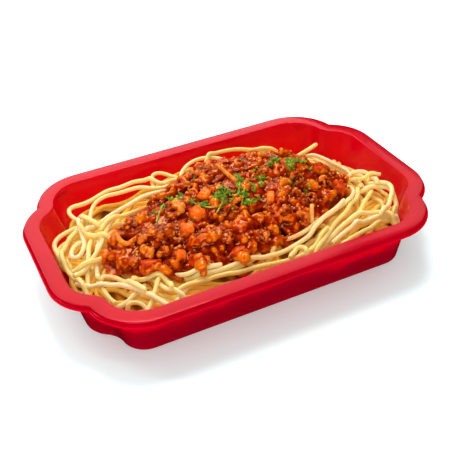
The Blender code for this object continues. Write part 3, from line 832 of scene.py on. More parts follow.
def boiled_spaghetti():
    """Boiled durum wheat pasta: pale yellow, starchy and slightly see-through, so light comes through
    it warm; a faint painted glow stands in for the light passed on between the strands, and deeper
    strands get a painted, more saturated orange shade; wet, with a soft gloss; lightly mottled, and
    reddened by the sauce's oil near it."""
    material = new_material("boiled_spaghetti")
    where = add(material, "TexCoord").outputs["Object"]
    tone = add(material, "Attribute", attribute_name="tone").outputs["Fac"]
    depth = add(material, "Attribute", attribute_name="depth").outputs["Fac"]
    stain = add(material, "Attribute", attribute_name="stain").outputs["Fac"]
    mottle = add(material, "TexNoise", {"Vector": where, "Scale": 1000 / 6.0, "Detail": 3.0})
    starch = add(material, "TexNoise", {"Vector": where, "Scale": 1000 / 0.8, "Detail": 2.0})
    shade = add(material, "Math", {0: tone, 1: mottle.outputs["Fac"]}, operation="ADD")
    half = add(material, "Math", {0: shade.outputs["Value"], 1: 0.5}, operation="MULTIPLY")
    shades = ((0.2, "#D4BE76"), (0.5, "#D8C48E"), (0.8, "#DCCAAA"))
    pale = add(material, "ValToRGB", {"Fac": half.outputs["Value"]}, stops=shades)
    # Painted shade: the deeper a point lies in the heap, the more its colour turns to a deeper orange.
    sunk = add(material, "Mix", {0: depth, 6: pale.outputs["Color"], 7: linear("#EEB848")}, data_type="RGBA")
    smear = add(material, "TexNoise", {"Vector": where, "Scale": 1000 / 3.5, "Detail": 4.0})
    patchy = add(material, "Math", {0: smear.outputs["Fac"], 1: stain}, operation="MULTIPLY")
    orange = add(
        material,
        "Mix",
        {0: patchy.outputs["Value"], 6: sunk.outputs["Result"], 7: linear("#D2641A")},
        data_type="RGBA",
    )
    wet = add(
        material,
        "MapRange",
        {"Value": mottle.outputs["Fac"], "From Min": 0.3, "From Max": 0.7, "To Min": 0.24, "To Max": 0.42},
    )
    skin = add(material, "Bump", {"Height": starch.outputs["Fac"], "Strength": 0.12, "Distance": 0.15 * MM})
    shader = add(
        material,
        "BsdfPrincipled",
        {
            "Base Color": orange.outputs["Result"],
            "Roughness": wet.outputs["Result"],
            "Normal": skin.outputs["Normal"],
            "IOR": 1.38,
            "Specular IOR Level": 0.35,
            "Specular Tint": linear("#FFF3E5"),
            "Subsurface Weight": 0.8,
            "Subsurface Radius": (1.0, 0.6, 0.22),
            "Subsurface Scale": 5.0 * MM,
            # Painted glow: the pasta is no lamp, but a faint emission stands in for the light that the
            # strands pass on to each other.
            "Emission Color": linear("#FFD868"),
            "Emission Strength": 0.14,
        },
    )
    add(material, "OutputMaterial", {"Surface": shader.outputs["BSDF"]})
    return material


pasta = boiled_spaghetti()
for name, some, step, sides in (
    ("spaghetti_strands_below", strands[:count_below], 2.2, 8),
    ("spaghetti_strands_on_top", strands[count_below:], 1.5, 10),
):
    piece = tubes(name, some, STRAND, step, sides)
    mark_strands(piece, some)
    piece.data.materials.append(pasta)
    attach(piece, "root")
    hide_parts("spaghetti")

# ---- Bolognese sauce
# A mound of minced beef simmered with tomato: clods and crumbs of meat glued into one wet mass, with
# a furrow along it and tongues that run out over the strands. Every clod is a knobbly ball, and all
# of them are fused into one skin with the mound and with the pads that the loose chunks sit on.
sauce_top = cad_surface("sauce")
random_sauce = random.Random(21)
whole_mass = merged_copy("sauce")
bmesh.ops.subdivide_edges(whole_mass, edges=whole_mass.edges, cuts=1, use_grid_fill=True)
clods = []
FILL = 0.0  # hollows below this height over the clods' general level are full of sauce
FUSED_CELL = 0.67  # how fine the fused skin is
FURROW_FLOOR = 26.0  # furrows open only above this height
CHUNKS = ("carrot", "tomato", "mince")


def pour(part, whole):
    """Adds one bmesh to another and frees it."""
    data = bpy.data.meshes.new("poured")
    part.to_mesh(data)
    part.free()
    whole.from_mesh(data)
    bpy.data.meshes.remove(data)


def knobbly_ball(mesh, centre, radius, flat, rough):
    """One clod: a small ball with shallow knobs, turned at random."""
    seed = Vector([random_sauce.uniform(-50, 50) for _ in range(3)])
    made = bmesh.ops.create_icosphere(mesh, subdivisions=2, radius=1.0)["verts"]
    turn = Euler([random_sauce.uniform(0, math.tau) for _ in range(3)]).to_matrix()
    stretch = Vector([random_sauce.uniform(0.65, 1.35) for _ in range(3)])
    for vertex in made:
        out = 1 + rough * noise.noise(vertex.co * 1.7 + seed) + 0.3 * noise.noise(vertex.co * 3.6 + seed)
        place = turn @ Vector(a * b for a, b in zip(vertex.co * out, stretch))
        place.z *= flat
        vertex.co = (centre + place * radius) * MM


def add_clods(places, rough=0.5):
    """Adds balls to the mass: each is its place, radius, flatness and how much meat it is."""
    batch = bmesh.new()
    for centre, radius, flat, meat in places:
        knobbly_ball(batch, centre, radius, flat, rough)
        clods.append((centre, radius, meat))
    pour(batch, whole_mass)


def on_sauce(x, y, lift=0.0):
    """A place on the CAD sauce, or so far above it."""
    return Vector((x, y, top_of(sauce_top, x, y, 27.0) + lift))


# The edge, which lies on the strands: radius, then x and y along it.
EDGES = (
    (3.0, (-76, -9), (-77, -16), (-76, -23), (-70, -29), (-61, -33), (-55, -36.5), (-47, -38), (-40, -38)),
    (3.0, (-35, -38), (-25, -40.5), (-18, -41.5), (-10, -42), (-2, -42), (6, -41.5), (15, -40.5),
     (24, -38), (33, -35), (41, -31), (50, -28), (57, -25), (66, -19), (71, -13), (74, -5)),
    (3.0, (74, -5), (73, 5), (69, 14), (62, 23), (54, 29), (43, 35), (32, 39), (20, 41), (8, 42), (-4, 41),
     (-16, 39), (-27, 35), (-37, 29), (-47, 23), (-56, 16), (-64, 8), (-71, 0), (-76, -8)),
)
# Two drips that run on over the strands to a point: x, y and radius along each.
DRIPS = (
    ((-35, -34.5, 5.6), (-35.6, -38, 5.6), (-36, -41.5, 5.2), (-36.4, -45, 4.4), (-37, -48.6, 3.0)),
    ((-13, -38, 5.6), (-13, -41, 5.6), (-13.2, -44, 5.0), (-13.8, -47.4, 4.0), (-14.6, -50.2, 2.8)),
)
# Long clumps that stand up where the spoon left them: radius, then x and y along the clump.
CLUMPS = (
    (4.6, (-34, -29), (-28, -31), (-20, -30.5), (-12, -29.5), (-4, -29), (4, -27.5), (11, -29)),
    (4.2, (-29, -35), (-20, -36.5), (-12, -37), (-3, -36), (5, -35), (12, -34)),
    (3.6, (-21, -11), (-14, -13.5), (-7, -15), (2, -14.5), (7, -15)),
    (4.4, (25, -13), (29, -20), (32, -26), (31, -33)),
    (3.8, (18, -25), (22, -31), (23, -37)),
    (4.6, (48, -15), (54, -12), (58, -17), (54, -24)),
    (3.8, (-73, -13), (-71, -19), (-66, -26), (-60, -30), (-53, -32)),
    (3.4, (-69, -5), (-64, 1), (-57, 2), (-50, -1)),
    (3.6, (-55, -12), (-50, -14.5), (-46, -19)),
    (3.6, (-47, -33), (-42, -33), (-38, -29)),
    (4.0, (-12, 14), (-3, 19), (8, 21), (20, 19)),
    (4.0, (-40, 16), (-31, 14), (-22, 17), (-14, 24)),
    (4.4, (14, 30), (26, 29), (38, 26), (48, 20)),
    (4.0, (30, 2), (38, 6), (48, 4), (56, 6)),
    (3.8, (-2, 33), (8, 36), (18, 37)),
)
# Furrows between them: half width, depth, then x and y along the furrow.
FURROWS = (
    (3.0, 3.4, (-30, -22.5), (-23, -21.5), (-13, -20.5), (-5, -20.5), (3, -20), (12, -20.5)),
    (2.6, 3.0, (12, -25), (14, -31), (16, -38)),
    (3.2, 3.2, (-65, -5), (-62, -9), (-58, -9.5)),
    (2.4, 2.6, (-53, -23.5), (-47, -25), (-40, -25)),
    (2.6, 3.0, (39, -8), (43, -11), (44, -18)),
    (2.4, 2.0, (-14, 5), (-9, -1), (-7, -6)),
    (2.6, 2.2, (-6, 9), (6, 11), (16, 12), (28, 10)),
    (2.6, 2.2, (-38, 7), (-28, 10), (-18, 10)),
    (2.4, 2.0, (6, 26), (18, 25), (30, 22)),
)
chunk_boxes = {name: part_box(name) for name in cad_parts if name.startswith(CHUNKS)}


def on_a_chunk(x, y, radius, kinds=CHUNKS):
    """True where a clod would bury one of the chunks that stand proud."""
    for name, (low, high) in chunk_boxes.items():
        middle, half = (low + high) / 2 / MM, (high - low) / 2 / MM
        reached = abs(x - middle.x) < half.x + radius * 0.5 and abs(y - middle.y) < half.y + radius * 0.5
        if reached and name.startswith(kinds) and radius > 1.2:
            return True
    return False


for radius, *route in EDGES:  # the edge lies on the ground that the strands make
    path = stepped(np.array(route, float), radius * 0.5)
    level = ground[cell_of(path)]
    for _ in range(3):
        level[1:-1] = (level[:-2] + level[1:-1] + level[2:]) / 3
    places = []
    for number, (x, y) in enumerate(path):
        size = radius * random_sauce.uniform(0.75, 1.15)
        off = Vector((x + random_sauce.gauss(0, 0.6), y + random_sauce.gauss(0, 0.6), level[number]))
        places.append((off, size, 0.6, 0.2))
    add_clods(places)
for drip in DRIPS:
    places = []
    for x, y, radius in stepped(np.array(drip), 1.4):
        close = np.hypot(field_x - x, field_y - y) < 1.6
        places.append((Vector((x, y, ground[close].max() + 0.3 * radius)), radius, 0.6, 0.0))
    add_clods(places, 0.15)
for radius, *route in CLUMPS:
    places = []
    for x, y in stepped(np.array(route, float), radius * 0.75):
        x, y = x + random_sauce.gauss(0, 0.9), y + random_sauce.gauss(0, 0.9)
        size = radius * random_sauce.uniform(0.8, 1.15)
        if not on_a_chunk(x, y, size, ("carrot", "tomato")):
            places.append((on_sauce(x, y, size * 0.1), size, 0.85, random_sauce.uniform(0.0, 0.5)))
    add_clods(places)


def scatter(count, low, high, flat, meat, lift, spread):
    """Clumps of clods over the mound, until there are so many: a clump's clods lie close together and
    share their make-up. Each clod's radius lies between low and high."""
    while count > 0:
        x = random_sauce.uniform(-SAUCE_HALF_LENGTH, SAUCE_HALF_LENGTH)
        y = random_sauce.uniform(-50, 50)
        if sauce_share(x, y) > 0.96:
            continue
        meaty = min(max(random_sauce.gauss(meat, 0.3), 0.0), 1.0)
        clump = []
        for _ in range(random_sauce.randint(5, 11)):
            near_x, near_y = x + random_sauce.gauss(0, spread), y + random_sauce.gauss(0, spread)
            radius = random_sauce.uniform(low, high)
            if sauce_share(near_x, near_y) < 1.0 and not on_a_chunk(near_x, near_y, radius):
                clump.append((on_sauce(near_x, near_y, lift * radius), radius, flat, meaty))
        add_clods(clump)
        count -= len(clump)


scatter(count=110, low=3.2, high=5.4, flat=0.75, meat=0.3, lift=-0.25, spread=6.0)
scatter(count=60, low=2.2, high=3.4, flat=0.8, meat=0.5, lift=-0.15, spread=3.6)
scatter(count=30, low=1.3, high=1.9, flat=0.9, meat=0.8, lift=0.1, spread=2.2)
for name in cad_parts:
    if name.startswith(CHUNKS):  # a pad of sauce under the chunk, so that it doesn't float
        pad = merged_copy(name)
        middle = sum((vertex.co for vertex in pad.verts), Vector()) / len(pad.verts)
        bmesh.ops.scale(pad, vec=(0.98, 0.98, 0.9), space=Matrix.Translation(-middle), verts=pad.verts)
        bmesh.ops.translate(pad, vec=(0, 0, -1.8 * MM), verts=pad.verts)
        pour(pad, whole_mass)
sauce = kept("bolognese_sauce", whole_mass, 180)
fused = sauce.modifiers.new("fused", "REMESH")
fused.mode = "VOXEL"
fused.voxel_size = FUSED_CELL * MM
softened_skin = sauce.modifiers.new("softened", "SMOOTH")
softened_skin.factor = 0.5
softened_skin.iterations = 6
settled(sauce)
sauce.data.shade_smooth()


def neighbour_mean(spots, first, second, rounds):
    """Every point moved to its neighbours' middle, so many times."""
    around = np.bincount(np.concatenate([first, second]), minlength=len(spots))
    level = spots.copy()
    for _ in range(rounds):
        for axis in range(3):
            total = np.bincount(first, level[second, axis], len(spots))
            total += np.bincount(second, level[first, axis], len(spots))
            level[:, axis] = total / around
    return level


def wrinkle_and_mark(piece, clod_list, grain_height, knobs=(), filled=False, furrows=()):
    """Works over a fused skin: sauce fills the hollows between the clods to a smooth wet level, furrows
    open, and the meat that stands out gets its knobs, each kind with its size and height, and its
    grain. Stores how far each point stands out and how much of it is bare meat."""
    tree = kdtree.KDTree(len(clod_list))
    for number, (centre, radius, meat) in enumerate(clod_list):
        tree.insert(centre * MM, number)
    tree.balance()
    data = piece.data
    count = len(data.vertices)
    spots, normals = np.zeros(count * 3), np.zeros(count * 3)
    data.vertices.foreach_get("co", spots)
    data.vertices.foreach_get("normal", normals)
    spots, normals = spots.reshape(-1, 3) / MM, normals.reshape(-1, 3)
    ends = np.zeros(len(data.edges) * 2, int)
    data.edges.foreach_get("vertices", ends)
    first, second = ends.reshape(-1, 2).T
    meat = np.array([clod_list[tree.find(Vector(spot) * MM)[1]][2] for spot in spots])
    proud = np.sum((spots - neighbour_mean(spots, first, second, 60)) * normals, axis=1)
    if filled:
        level = np.where(proud < FILL, FILL + (proud - FILL) * 0.4, proud)
        spots += normals * (level - proud)[:, None]
    for half_width, depth, *route in furrows:
        path = rounded(route)
        lines = kdtree.KDTree(len(path))
        for number, (x, y) in enumerate(path):
            lines.insert(Vector((x, y, 0)), number)
        lines.balance()
        gap = np.array([lines.find(Vector((x, y, 0)))[2] for x, y, z in spots])
        hollow = np.clip(1 - (gap / half_width) ** 2, 0, 1) ** 1.5 * depth
        spots[:, 2] -= hollow * (spots[:, 2] > FURROW_FLOOR)
    stands_out = 0.5 + 0.5 * ease(FILL, 0.5, proud)
    for size, depth in knobs:
        billow = np.array([abs(noise.noise(Vector(spot) / size)) for spot in spots])
        swell = (np.minimum(billow, 0.5) - 0.2) * 2 * depth * stands_out * (0.6 + 0.6 * meat)
        spots += normals * swell[:, None]
    grain = np.array([noise.noise(Vector(spot) / 1.1) + noise.noise(Vector(spot) / 2.6) for spot in spots])
    spots += normals * (grain * (0.4 + meat) * stands_out * grain_height)[:, None]
    data.vertices.foreach_set("co", spots.ravel() * MM)
    # How far each point stands out, at two sizes; the material paints the hollows darker with it, partly for
    # thicker sauce and partly as painted shade.
    ridge = np.full(count, 0.5)
    for rounds, weight in ((14, 0.22), (60, 0.22)):
        rise = np.sum((spots - neighbour_mean(spots, first, second, rounds)) * normals, axis=1)
        ridge += (rise - rise.mean()) * weight
    data.attributes.new("ridge", "FLOAT", "POINT").data.foreach_set("value", np.clip(ridge, 0, 1))
    data.attributes.new("meat", "FLOAT", "POINT").data.foreach_set("value", meat * ease(FILL, 0.5, proud))


wrinkle_and_mark(sauce, clods, 0.14, knobs=((9.0, 1.8), (4.6, 1.3)), filled=True, furrows=FURROWS)


def wet_bolognese(name, sauce_stops, meat_stops):
    """Simmered mince in tomato: red-orange and see-through where the sauce is thin over a crest, deep
    brown-red in the hollows, which is partly the sauce lying thicker there and partly painted shade,
    with duller brown meat showing, likewise painted darker in its hollows, all under a wet film of oil
    and juice."""
    material = new_material(name)
    where = add(material, "TexCoord").outputs["Object"]
    ridge = add(material, "Attribute", attribute_name="ridge").outputs["Fac"]
    meat = add(material, "Attribute", attribute_name="meat").outputs["Fac"]
    pulp = add(material, "TexNoise", {"Vector": where, "Scale": 1000 / 3.2, "Detail": 5.0, "Roughness": 0.6})
    fibre = add(material, "TexNoise", {"Vector": where, "Scale": 1000 / 0.9, "Detail": 3.0})
    lift = add(
        material,
        "MapRange",
        {"Value": pulp.outputs["Fac"], "From Min": 0.3, "From Max": 0.7, "To Min": -0.22, "To Max": 0.22},
    )
    # Painted shade: both ramps follow how far a point stands out, so the hollows get painted shade and the
    # crests a lighter orange.
    height = add(material, "Math", {0: ridge, 1: lift.outputs["Result"]}, operation="ADD", use_clamp=True)
    red = add(material, "ValToRGB", {"Fac": height.outputs["Value"]}, stops=sauce_stops)
    brown = add(material, "ValToRGB", {"Fac": height.outputs["Value"]}, stops=meat_stops)
    bare = add(material, "Math", {0: meat, 1: fibre.outputs["Fac"]}, operation="MULTIPLY")
    bare_share = add(material, "MapRange", {"Value": bare.outputs["Value"], "From Min": 0.2, "From Max": 0.7})
    tint = add(
        material,
        "Mix",
        {0: bare_share.outputs["Result"], 6: red.outputs["Color"], 7: brown.outputs["Color"]},
        data_type="RGBA",
    )
    wet = add(
        material,
        "MapRange",
        {"Value": fibre.outputs["Fac"], "From Min": 0.3, "From Max": 0.7, "To Min": 0.05, "To Max": 0.18},
    )
    bumps = add(material, "Bump", {"Height": fibre.outputs["Fac"], "Strength": 0.15, "Distance": 0.3 * MM})
    shader = add(
        material,
        "BsdfPrincipled",
        {
            "Base Color": tint.outputs["Result"],
            "Roughness": wet.outputs["Result"],
            "Normal": bumps.outputs["Normal"],
            "IOR": 1.5,
            "Specular IOR Level": 0.9,
            "Specular Tint": linear("#FFBC7C"),
            "Subsurface Weight": 0.1,
            "Subsurface Radius": (1.0, 0.2, 0.03),
            "Subsurface Scale": 1.0 * MM,
        },
    )
    add(material, "OutputMaterial", {"Surface": shader.outputs["BSDF"]})
    return material


sauce.data.materials.append(
    wet_bolognese(
        "wet_tomato_and_mince",
        ((0.05, "#3A0200"), (0.35, "#901C00"), (0.6, "#B43A00"), (0.95, "#DA7008")),
        ((0.05, "#561000"), (0.4, "#9C400C"), (0.9, "#DA8E38")),
    )
)
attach(sauce, "root")
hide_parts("sauce")

# ---- Chunks that stand proud of the sauce
# Carrot dice, torn tomato and clods of mince, each in its own place. The dice keep their flat cut
# faces with boiled-soft edges, the tomato is softer, and the mince is knobbly and grainy.


def chunk(node, detail, knob, knob_size, soft):
    """A CAD chunk worked over: cut so many times, softened in so many rounds, then pushed in and out
    by its own grain, whose knobs have a height and a size."""
    mesh = merged_copy(node)
    bmesh.ops.subdivide_edges(mesh, edges=mesh.edges, cuts=detail, use_grid_fill=True)
    for _ in range(soft):
        bmesh.ops.smooth_vert(
            mesh, verts=mesh.verts, factor=0.5, use_axis_x=True, use_axis_y=True, use_axis_z=True
        )
    mesh.normal_update()
    seed = Vector((len(node), sum(map(ord, node)) * 0.37, 0))  # another grain for every chunk
    for vertex in mesh.verts:
        place = vertex.co / MM
        grain = noise.noise(place / knob_size + seed) + 0.45 * noise.noise(place / knob_size * 2.6 + seed)
        vertex.co += vertex.normal * grain * knob * MM
    return mesh


def boiled_flesh(name, stops, radius_colour, size):
    """Boiled carrot or tomato: soft wet flesh that glows through at the edges, with its fibres lighter
    than the rest and traces of sauce."""
    material = new_material(name)
    where = add(material, "TexCoord").outputs["Object"]
    flesh = add(
        material, "TexNoise", {"Vector": where, "Scale": 1000 / size, "Detail": 4.0, "Distortion": 0.6}
    )
    pores = add(material, "TexNoise", {"Vector": where, "Scale": 1000 / 0.7, "Detail": 2.0})
    tint = add(material, "ValToRGB", {"Fac": flesh.outputs["Fac"]}, stops=stops)
    wet = add(material, "MapRange", {"Value": pores.outputs["Fac"], "To Min": 0.12, "To Max": 0.45})
    bumps = add(material, "Bump", {"Height": pores.outputs["Fac"], "Strength": 0.3, "Distance": 0.2 * MM})
    shader = add(
        material,
        "BsdfPrincipled",
        {
            "Base Color": tint.outputs["Color"],
            "Roughness": wet.outputs["Result"],
            "Normal": bumps.outputs["Normal"],
            "IOR": 1.4,
            "Subsurface Weight": 0.3,
            "Subsurface Radius": radius_colour,
            "Subsurface Scale": 1.5 * MM,
            "Specular Tint": linear("#FFCB95"),
        },
    )
    add(material, "OutputMaterial", {"Surface": shader.outputs["BSDF"]})
    return material


carrot = boiled_flesh(
    "boiled_carrot", ((0.3, "#CC4404"), (0.5, "#E4640C"), (0.7, "#F28626")), (1.0, 0.42, 0.08), 4.0
)
tomato = boiled_flesh(
    "stewed_tomato", ((0.3, "#9C2400"), (0.5, "#C03C04"), (0.7, "#DC5C12")), (1.0, 0.3, 0.08), 3.5
)
mince = wet_bolognese(
    "browned_mince",
    ((0.1, "#4A0800"), (0.5, "#A62A00"), (0.9, "#D65A0C")),
    ((0.1, "#541000"), (0.5, "#A4460C"), (0.9, "#D88E38")),
)
for node in sorted(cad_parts):
    if node.startswith("carrot"):
        piece = kept(node + "_cut", chunk(node, 5, 0.5, 2.4, 7), 180)
        piece.data.materials.append(carrot)
    elif node.startswith("tomato"):
        piece = kept(node + "_torn", chunk(node, 5, 1.1, 3.2, 12), 180)
        piece.data.materials.append(tomato)
    elif node.startswith("mince"):
        piece = kept(node + "_browned", chunk(node, 4, 1.2, 4.2, 1), 180)
        low, high = chunk_boxes[node]
        one_clod = [((low + high) / 2 / MM, 1.0, 0.8)]
        wrinkle_and_mark(piece, one_clod, 0.3, knobs=((4.6, 1.0), (2.0, 0.5)))
        piece.data.materials.append(mince)
    else:
        continue
    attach(piece, "root")
    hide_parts(node)

# ---- Strands caught in the sauce
# A loop of spaghetti coated orange at the near left, one more across the top, and a short end that
# sticks up at the right.
sauce_mesh = bmesh.new()
sauce_mesh.from_mesh(sauce.data)
sauce_skin = BVHTree.FromBMesh(sauce_mesh)
sauce_mesh.free()


def resting(x, y, lift=0.0):
    """A place on whatever is highest there, the sauce or the spaghetti, or so far above it."""
    return Vector((x, y, max(top_of(sauce_skin, x, y, 0.0), top_of(heap, x, y, 0.0)) + lift))


def oily_skin(name, stops):
    """Spaghetti, onion or fat that has lain in the sauce: its skin has taken the orange oil, unevenly."""
    material = new_material(name)
    where = add(material, "TexCoord").outputs["Object"]
    film = add(material, "TexNoise", {"Vector": where, "Scale": 1000 / 2.6, "Detail": 4.0, "Roughness": 0.65})
    tint = add(material, "ValToRGB", {"Fac": film.outputs["Fac"]}, stops=stops)
    wet = add(material, "MapRange", {"Value": film.outputs["Fac"], "To Min": 0.12, "To Max": 0.45})
    bumps = add(material, "Bump", {"Height": film.outputs["Fac"], "Strength": 0.4, "Distance": 0.3 * MM})
    shader = add(
        material,
        "BsdfPrincipled",
        {
            "Base Color": tint.outputs["Color"],
            "Roughness": wet.outputs["Result"],
            "Normal": bumps.outputs["Normal"],
            "IOR": 1.4,
            "Subsurface Weight": 0.3,
            "Subsurface Radius": (1.0, 0.45, 0.1),
            "Subsurface Scale": 1.3 * MM,
            "Specular Tint": linear("#FFCB95"),
        },
    )
    add(material, "OutputMaterial", {"Surface": shader.outputs["BSDF"]})
    return material


coated = oily_skin("sauce_coated_spaghetti", ((0.3, "#B04A10"), (0.5, "#DC7A22"), (0.75, "#EFA040")))
# The coated ones lie on the sauce: x, y and height over it. The upright end: x, y and height.
COATED = (
    ((-65, 12.5, 0.6), (-65.5, 7, 1.2), (-67.5, -2, 1.3), (-68, -9.5, 1.3), (-66, -15.5, 1.2),
     (-61.5, -13.5, 1.6), (-57.5, -10.5, 1.6), (-54.5, -11.5, 0.8)),
    ((5, 24, 0.2), (5, 20.5, 0.8), (5.5, 15, 1.0), (6, 9, 1.0), (7, 3.5, 0.6), (8, 0, -0.6)),
)
UPRIGHT = ((33.5, -38, 29), (34.5, -36, 32), (36.6, -32.5, 38))


def lying_on_sauce(routes):
    """Given routes laid on the sauce, each point with its own height over it."""
    return [rounded([resting(x, y, lift) for x, y, lift in route]) for route in routes]


caught = tubes("spaghetti_caught_in_sauce", lying_on_sauce(COATED), STRAND, 1.2, 10)
caught.data.materials.append(coated)
standing = [rounded(UPRIGHT)]
upright = tubes("spaghetti_end_upright", standing, STRAND, 1.0, 10)
mark_strands(upright, standing)
upright.data.materials.append(pasta)
for piece in (caught, upright):
    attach(piece, "root")
    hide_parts("spaghetti")

# ---- Onion and crumbs
# Thin stewed onion flakes lying in the sauce, and pale crumbs of fat and herb seed that stick to it
# everywhere; each crumb is a small faceted grain.
random_bits = random.Random(5)
CRUMBS = 400
onions = bmesh.new()
# Where the flakes lie, and how long and wide each one is.
for x, y, long, wide in (
    (10, -20, 6.5, 4.2), (13, -10, 6.0, 4.5), (-18.5, 14, 4.5, 3.2), (-2.5, -16, 5.0, 3.0),
    (-53, -16, 5.0, 3.5), (24, -3, 4.5, 3.0), (-30, -3.5, 4.5, 3.0), (33, 18, 4.5, 3.5),
    (2, 33, 4.5, 3.0), (-48, 6, 4.0, 3.0), (46, 21, 4.5, 3.0), (-12, -38, 4.0, 3.0),
):
    flake = bmesh.new()
    bmesh.ops.create_circle(flake, cap_ends=True, segments=12, radius=1.0)
    bmesh.ops.inset_region(flake, faces=list(flake.faces), thickness=0.35, depth=0.25)
    bmesh.ops.solidify(flake, geom=flake.faces, thickness=0.22)
    bmesh.ops.recalc_face_normals(flake, faces=flake.faces)
    turn = Euler((random_bits.uniform(-0.4, 0.4), random_bits.uniform(-0.4, 0.4), random_bits.uniform(0, 6)))
    for vertex in flake.verts:
        vertex.co.z += 0.25 * noise.noise(vertex.co * 1.3 + Vector((x, y, 0)))
        vertex.co *= 1 + 0.25 * noise.noise(vertex.co * 1.1 + Vector((y, x, 0)))
    sized = Matrix.Diagonal((long / 2, wide / 2, 1.4, 1))
    placed = Matrix.Translation(resting(x, y, -0.3)) @ turn.to_matrix().to_4x4() @ sized
    bmesh.ops.transform(flake, matrix=Matrix.Scale(MM, 4) @ placed, verts=flake.verts)
    pour(flake, onions)
onion_flakes = kept("onion_flakes", onions, 50)
rounder = onion_flakes.modifiers.new("rounder", "SUBSURF")
rounder.levels = 2
rounder.render_levels = 2
settled(onion_flakes)
onion_flakes.data.shade_smooth()
onion_flakes.data.materials.append(
    oily_skin("stewed_onion", ((0.3, "#A03C0C"), (0.5, "#C8622A"), (0.75, "#E09050")))
)

grain_places = []
while len(grain_places) < CRUMBS:
    x, y = random_bits.uniform(-76, 76), random_bits.uniform(-48, 46)
    if sauce_share(x, y) < 0.97 and noise.noise(Vector((x, y, 0)) / 9) > -0.25:
        grain_places.append((x, y, random_bits.uniform(0.35, 0.85)))
crumbs = bmesh.new()
batch = bmesh.new()
for number, (x, y, radius) in enumerate(grain_places):
    stretch = Matrix.Diagonal([radius * random_bits.uniform(0.7, 1.3) for _ in range(3)] + [1])
    turn = Euler([random_bits.uniform(0, math.tau) for _ in range(3)]).to_matrix().to_4x4()
    placed = Matrix.Scale(MM, 4) @ Matrix.Translation(resting(x, y, radius * 0.25)) @ turn @ stretch
    bmesh.ops.create_icosphere(batch, subdivisions=1, radius=1.0, matrix=placed)
    if number % 30 == 29:  # a small batch at a time, which is quicker
        pour(batch, crumbs)
        batch = bmesh.new()
pour(batch, crumbs)
pale_crumbs = kept("pale_crumbs", crumbs, 60)
pale_crumbs.data.materials.append(
    oily_skin("crumbs_of_fat", ((0.3, "#D07A20"), (0.5, "#E6983C"), (0.75, "#F2B860")))
)
for piece in (onion_flakes, pale_crumbs):
    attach(piece, "root")
    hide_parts("sauce")

# ---- Parsley
# Fresh curly parsley, chopped coarsely: tight clumps of small ruffled leaflets, deep green inside and
# bright at the curled edges, with a few cut stems.
# Clumps: x, y, size of a leaflet and how many there are. Stems: x, y and height over the sauce.
HERBS = (
    (-33, 35, 1.5, 5), (-43.5, 0.5, 1.2, 4), (-37, 2, 1.4, 6), (-31.5, 7.5, 1.7, 8), (-31.5, 2.5, 1.4, 5),
    (-26, 7, 1.5, 6), (-28, 3, 1.3, 5), (-22, -3.5, 1.3, 5), (-18.5, -7, 1.5, 6), (-15, -6, 1.3, 5),
    (-8, -7, 1.9, 10), (-3.5, -3, 2.0, 11), (-5.5, -8, 1.9, 9), (-5, -12, 1.7, 8), (1, -4, 1.6, 6),
    (-1.5, -11.5, 1.4, 5), (9, 1, 1.7, 8), (6, -3.5, 1.4, 5), (8.5, 5, 1.3, 5), (7.5, -8.5, 1.7, 7),
    (6.5, -13.5, 1.6, 6), (9.5, -15.5, 1.4, 5), (4, -9.5, 1.5, 6), (13.5, -6.5, 1.5, 5), (18.5, -6, 1.3, 4),
    (24.5, 1.5, 1.6, 6), (22.5, 3.5, 1.4, 5), (29.5, 6, 1.3, 5), (28.5, 10, 1.5, 6), (33, 10, 1.4, 5),
    (38, 13, 1.5, 6), (40.5, 14.5, 1.4, 5), (22, 9.5, 1.1, 4), (43, 3.5, 1.8, 9), (41.5, 1, 1.6, 7),
    (49, 4.5, 1.4, 6), (52.5, 3, 1.3, 5), (43.5, -1, 1.5, 6), (45.5, -3, 1.3, 5), (38.5, -5.5, 1.4, 6),
    (54, 0, 1.1, 4), (44.5, -14.5, 1.4, 5), (14, -12.5, 1.0, 3), (60, 8, 0.9, 2), (-10, 20, 0.8, 2),
)
STEMS = (
    ((-46, -7.5, -0.2), (-43, -4, 1.2), (-39.5, -1, 2.2), (-37, 2.5, 1.8)),
    ((-22, -4, 0.3), (-18, -9, 0.9), (-13, -11.5, 0.9), (-8, -11, 0.6)),
    ((-13, -14, 0.2), (-9, -12, 0.9), (-6, -9, 1.2)),
    ((7, -3, 0.9), (4.5, -6.5, 1.0), (3, -9.5, 0.6)),
    ((2.5, -13.5, 0.3), (5, -11, 1.3), (8, -7, 1.5)),
    ((36, 9.5, 0.4), (40, 12.5, 1.0), (43, 15.5, 0.6)),
)
LEAF_TEETH = 20  # along a leaflet's rim
LEAF_HALF_TURN = 2.2  # how far round its stalk a leaflet spreads to either side
STEM = 0.42  # half a stem's thickness


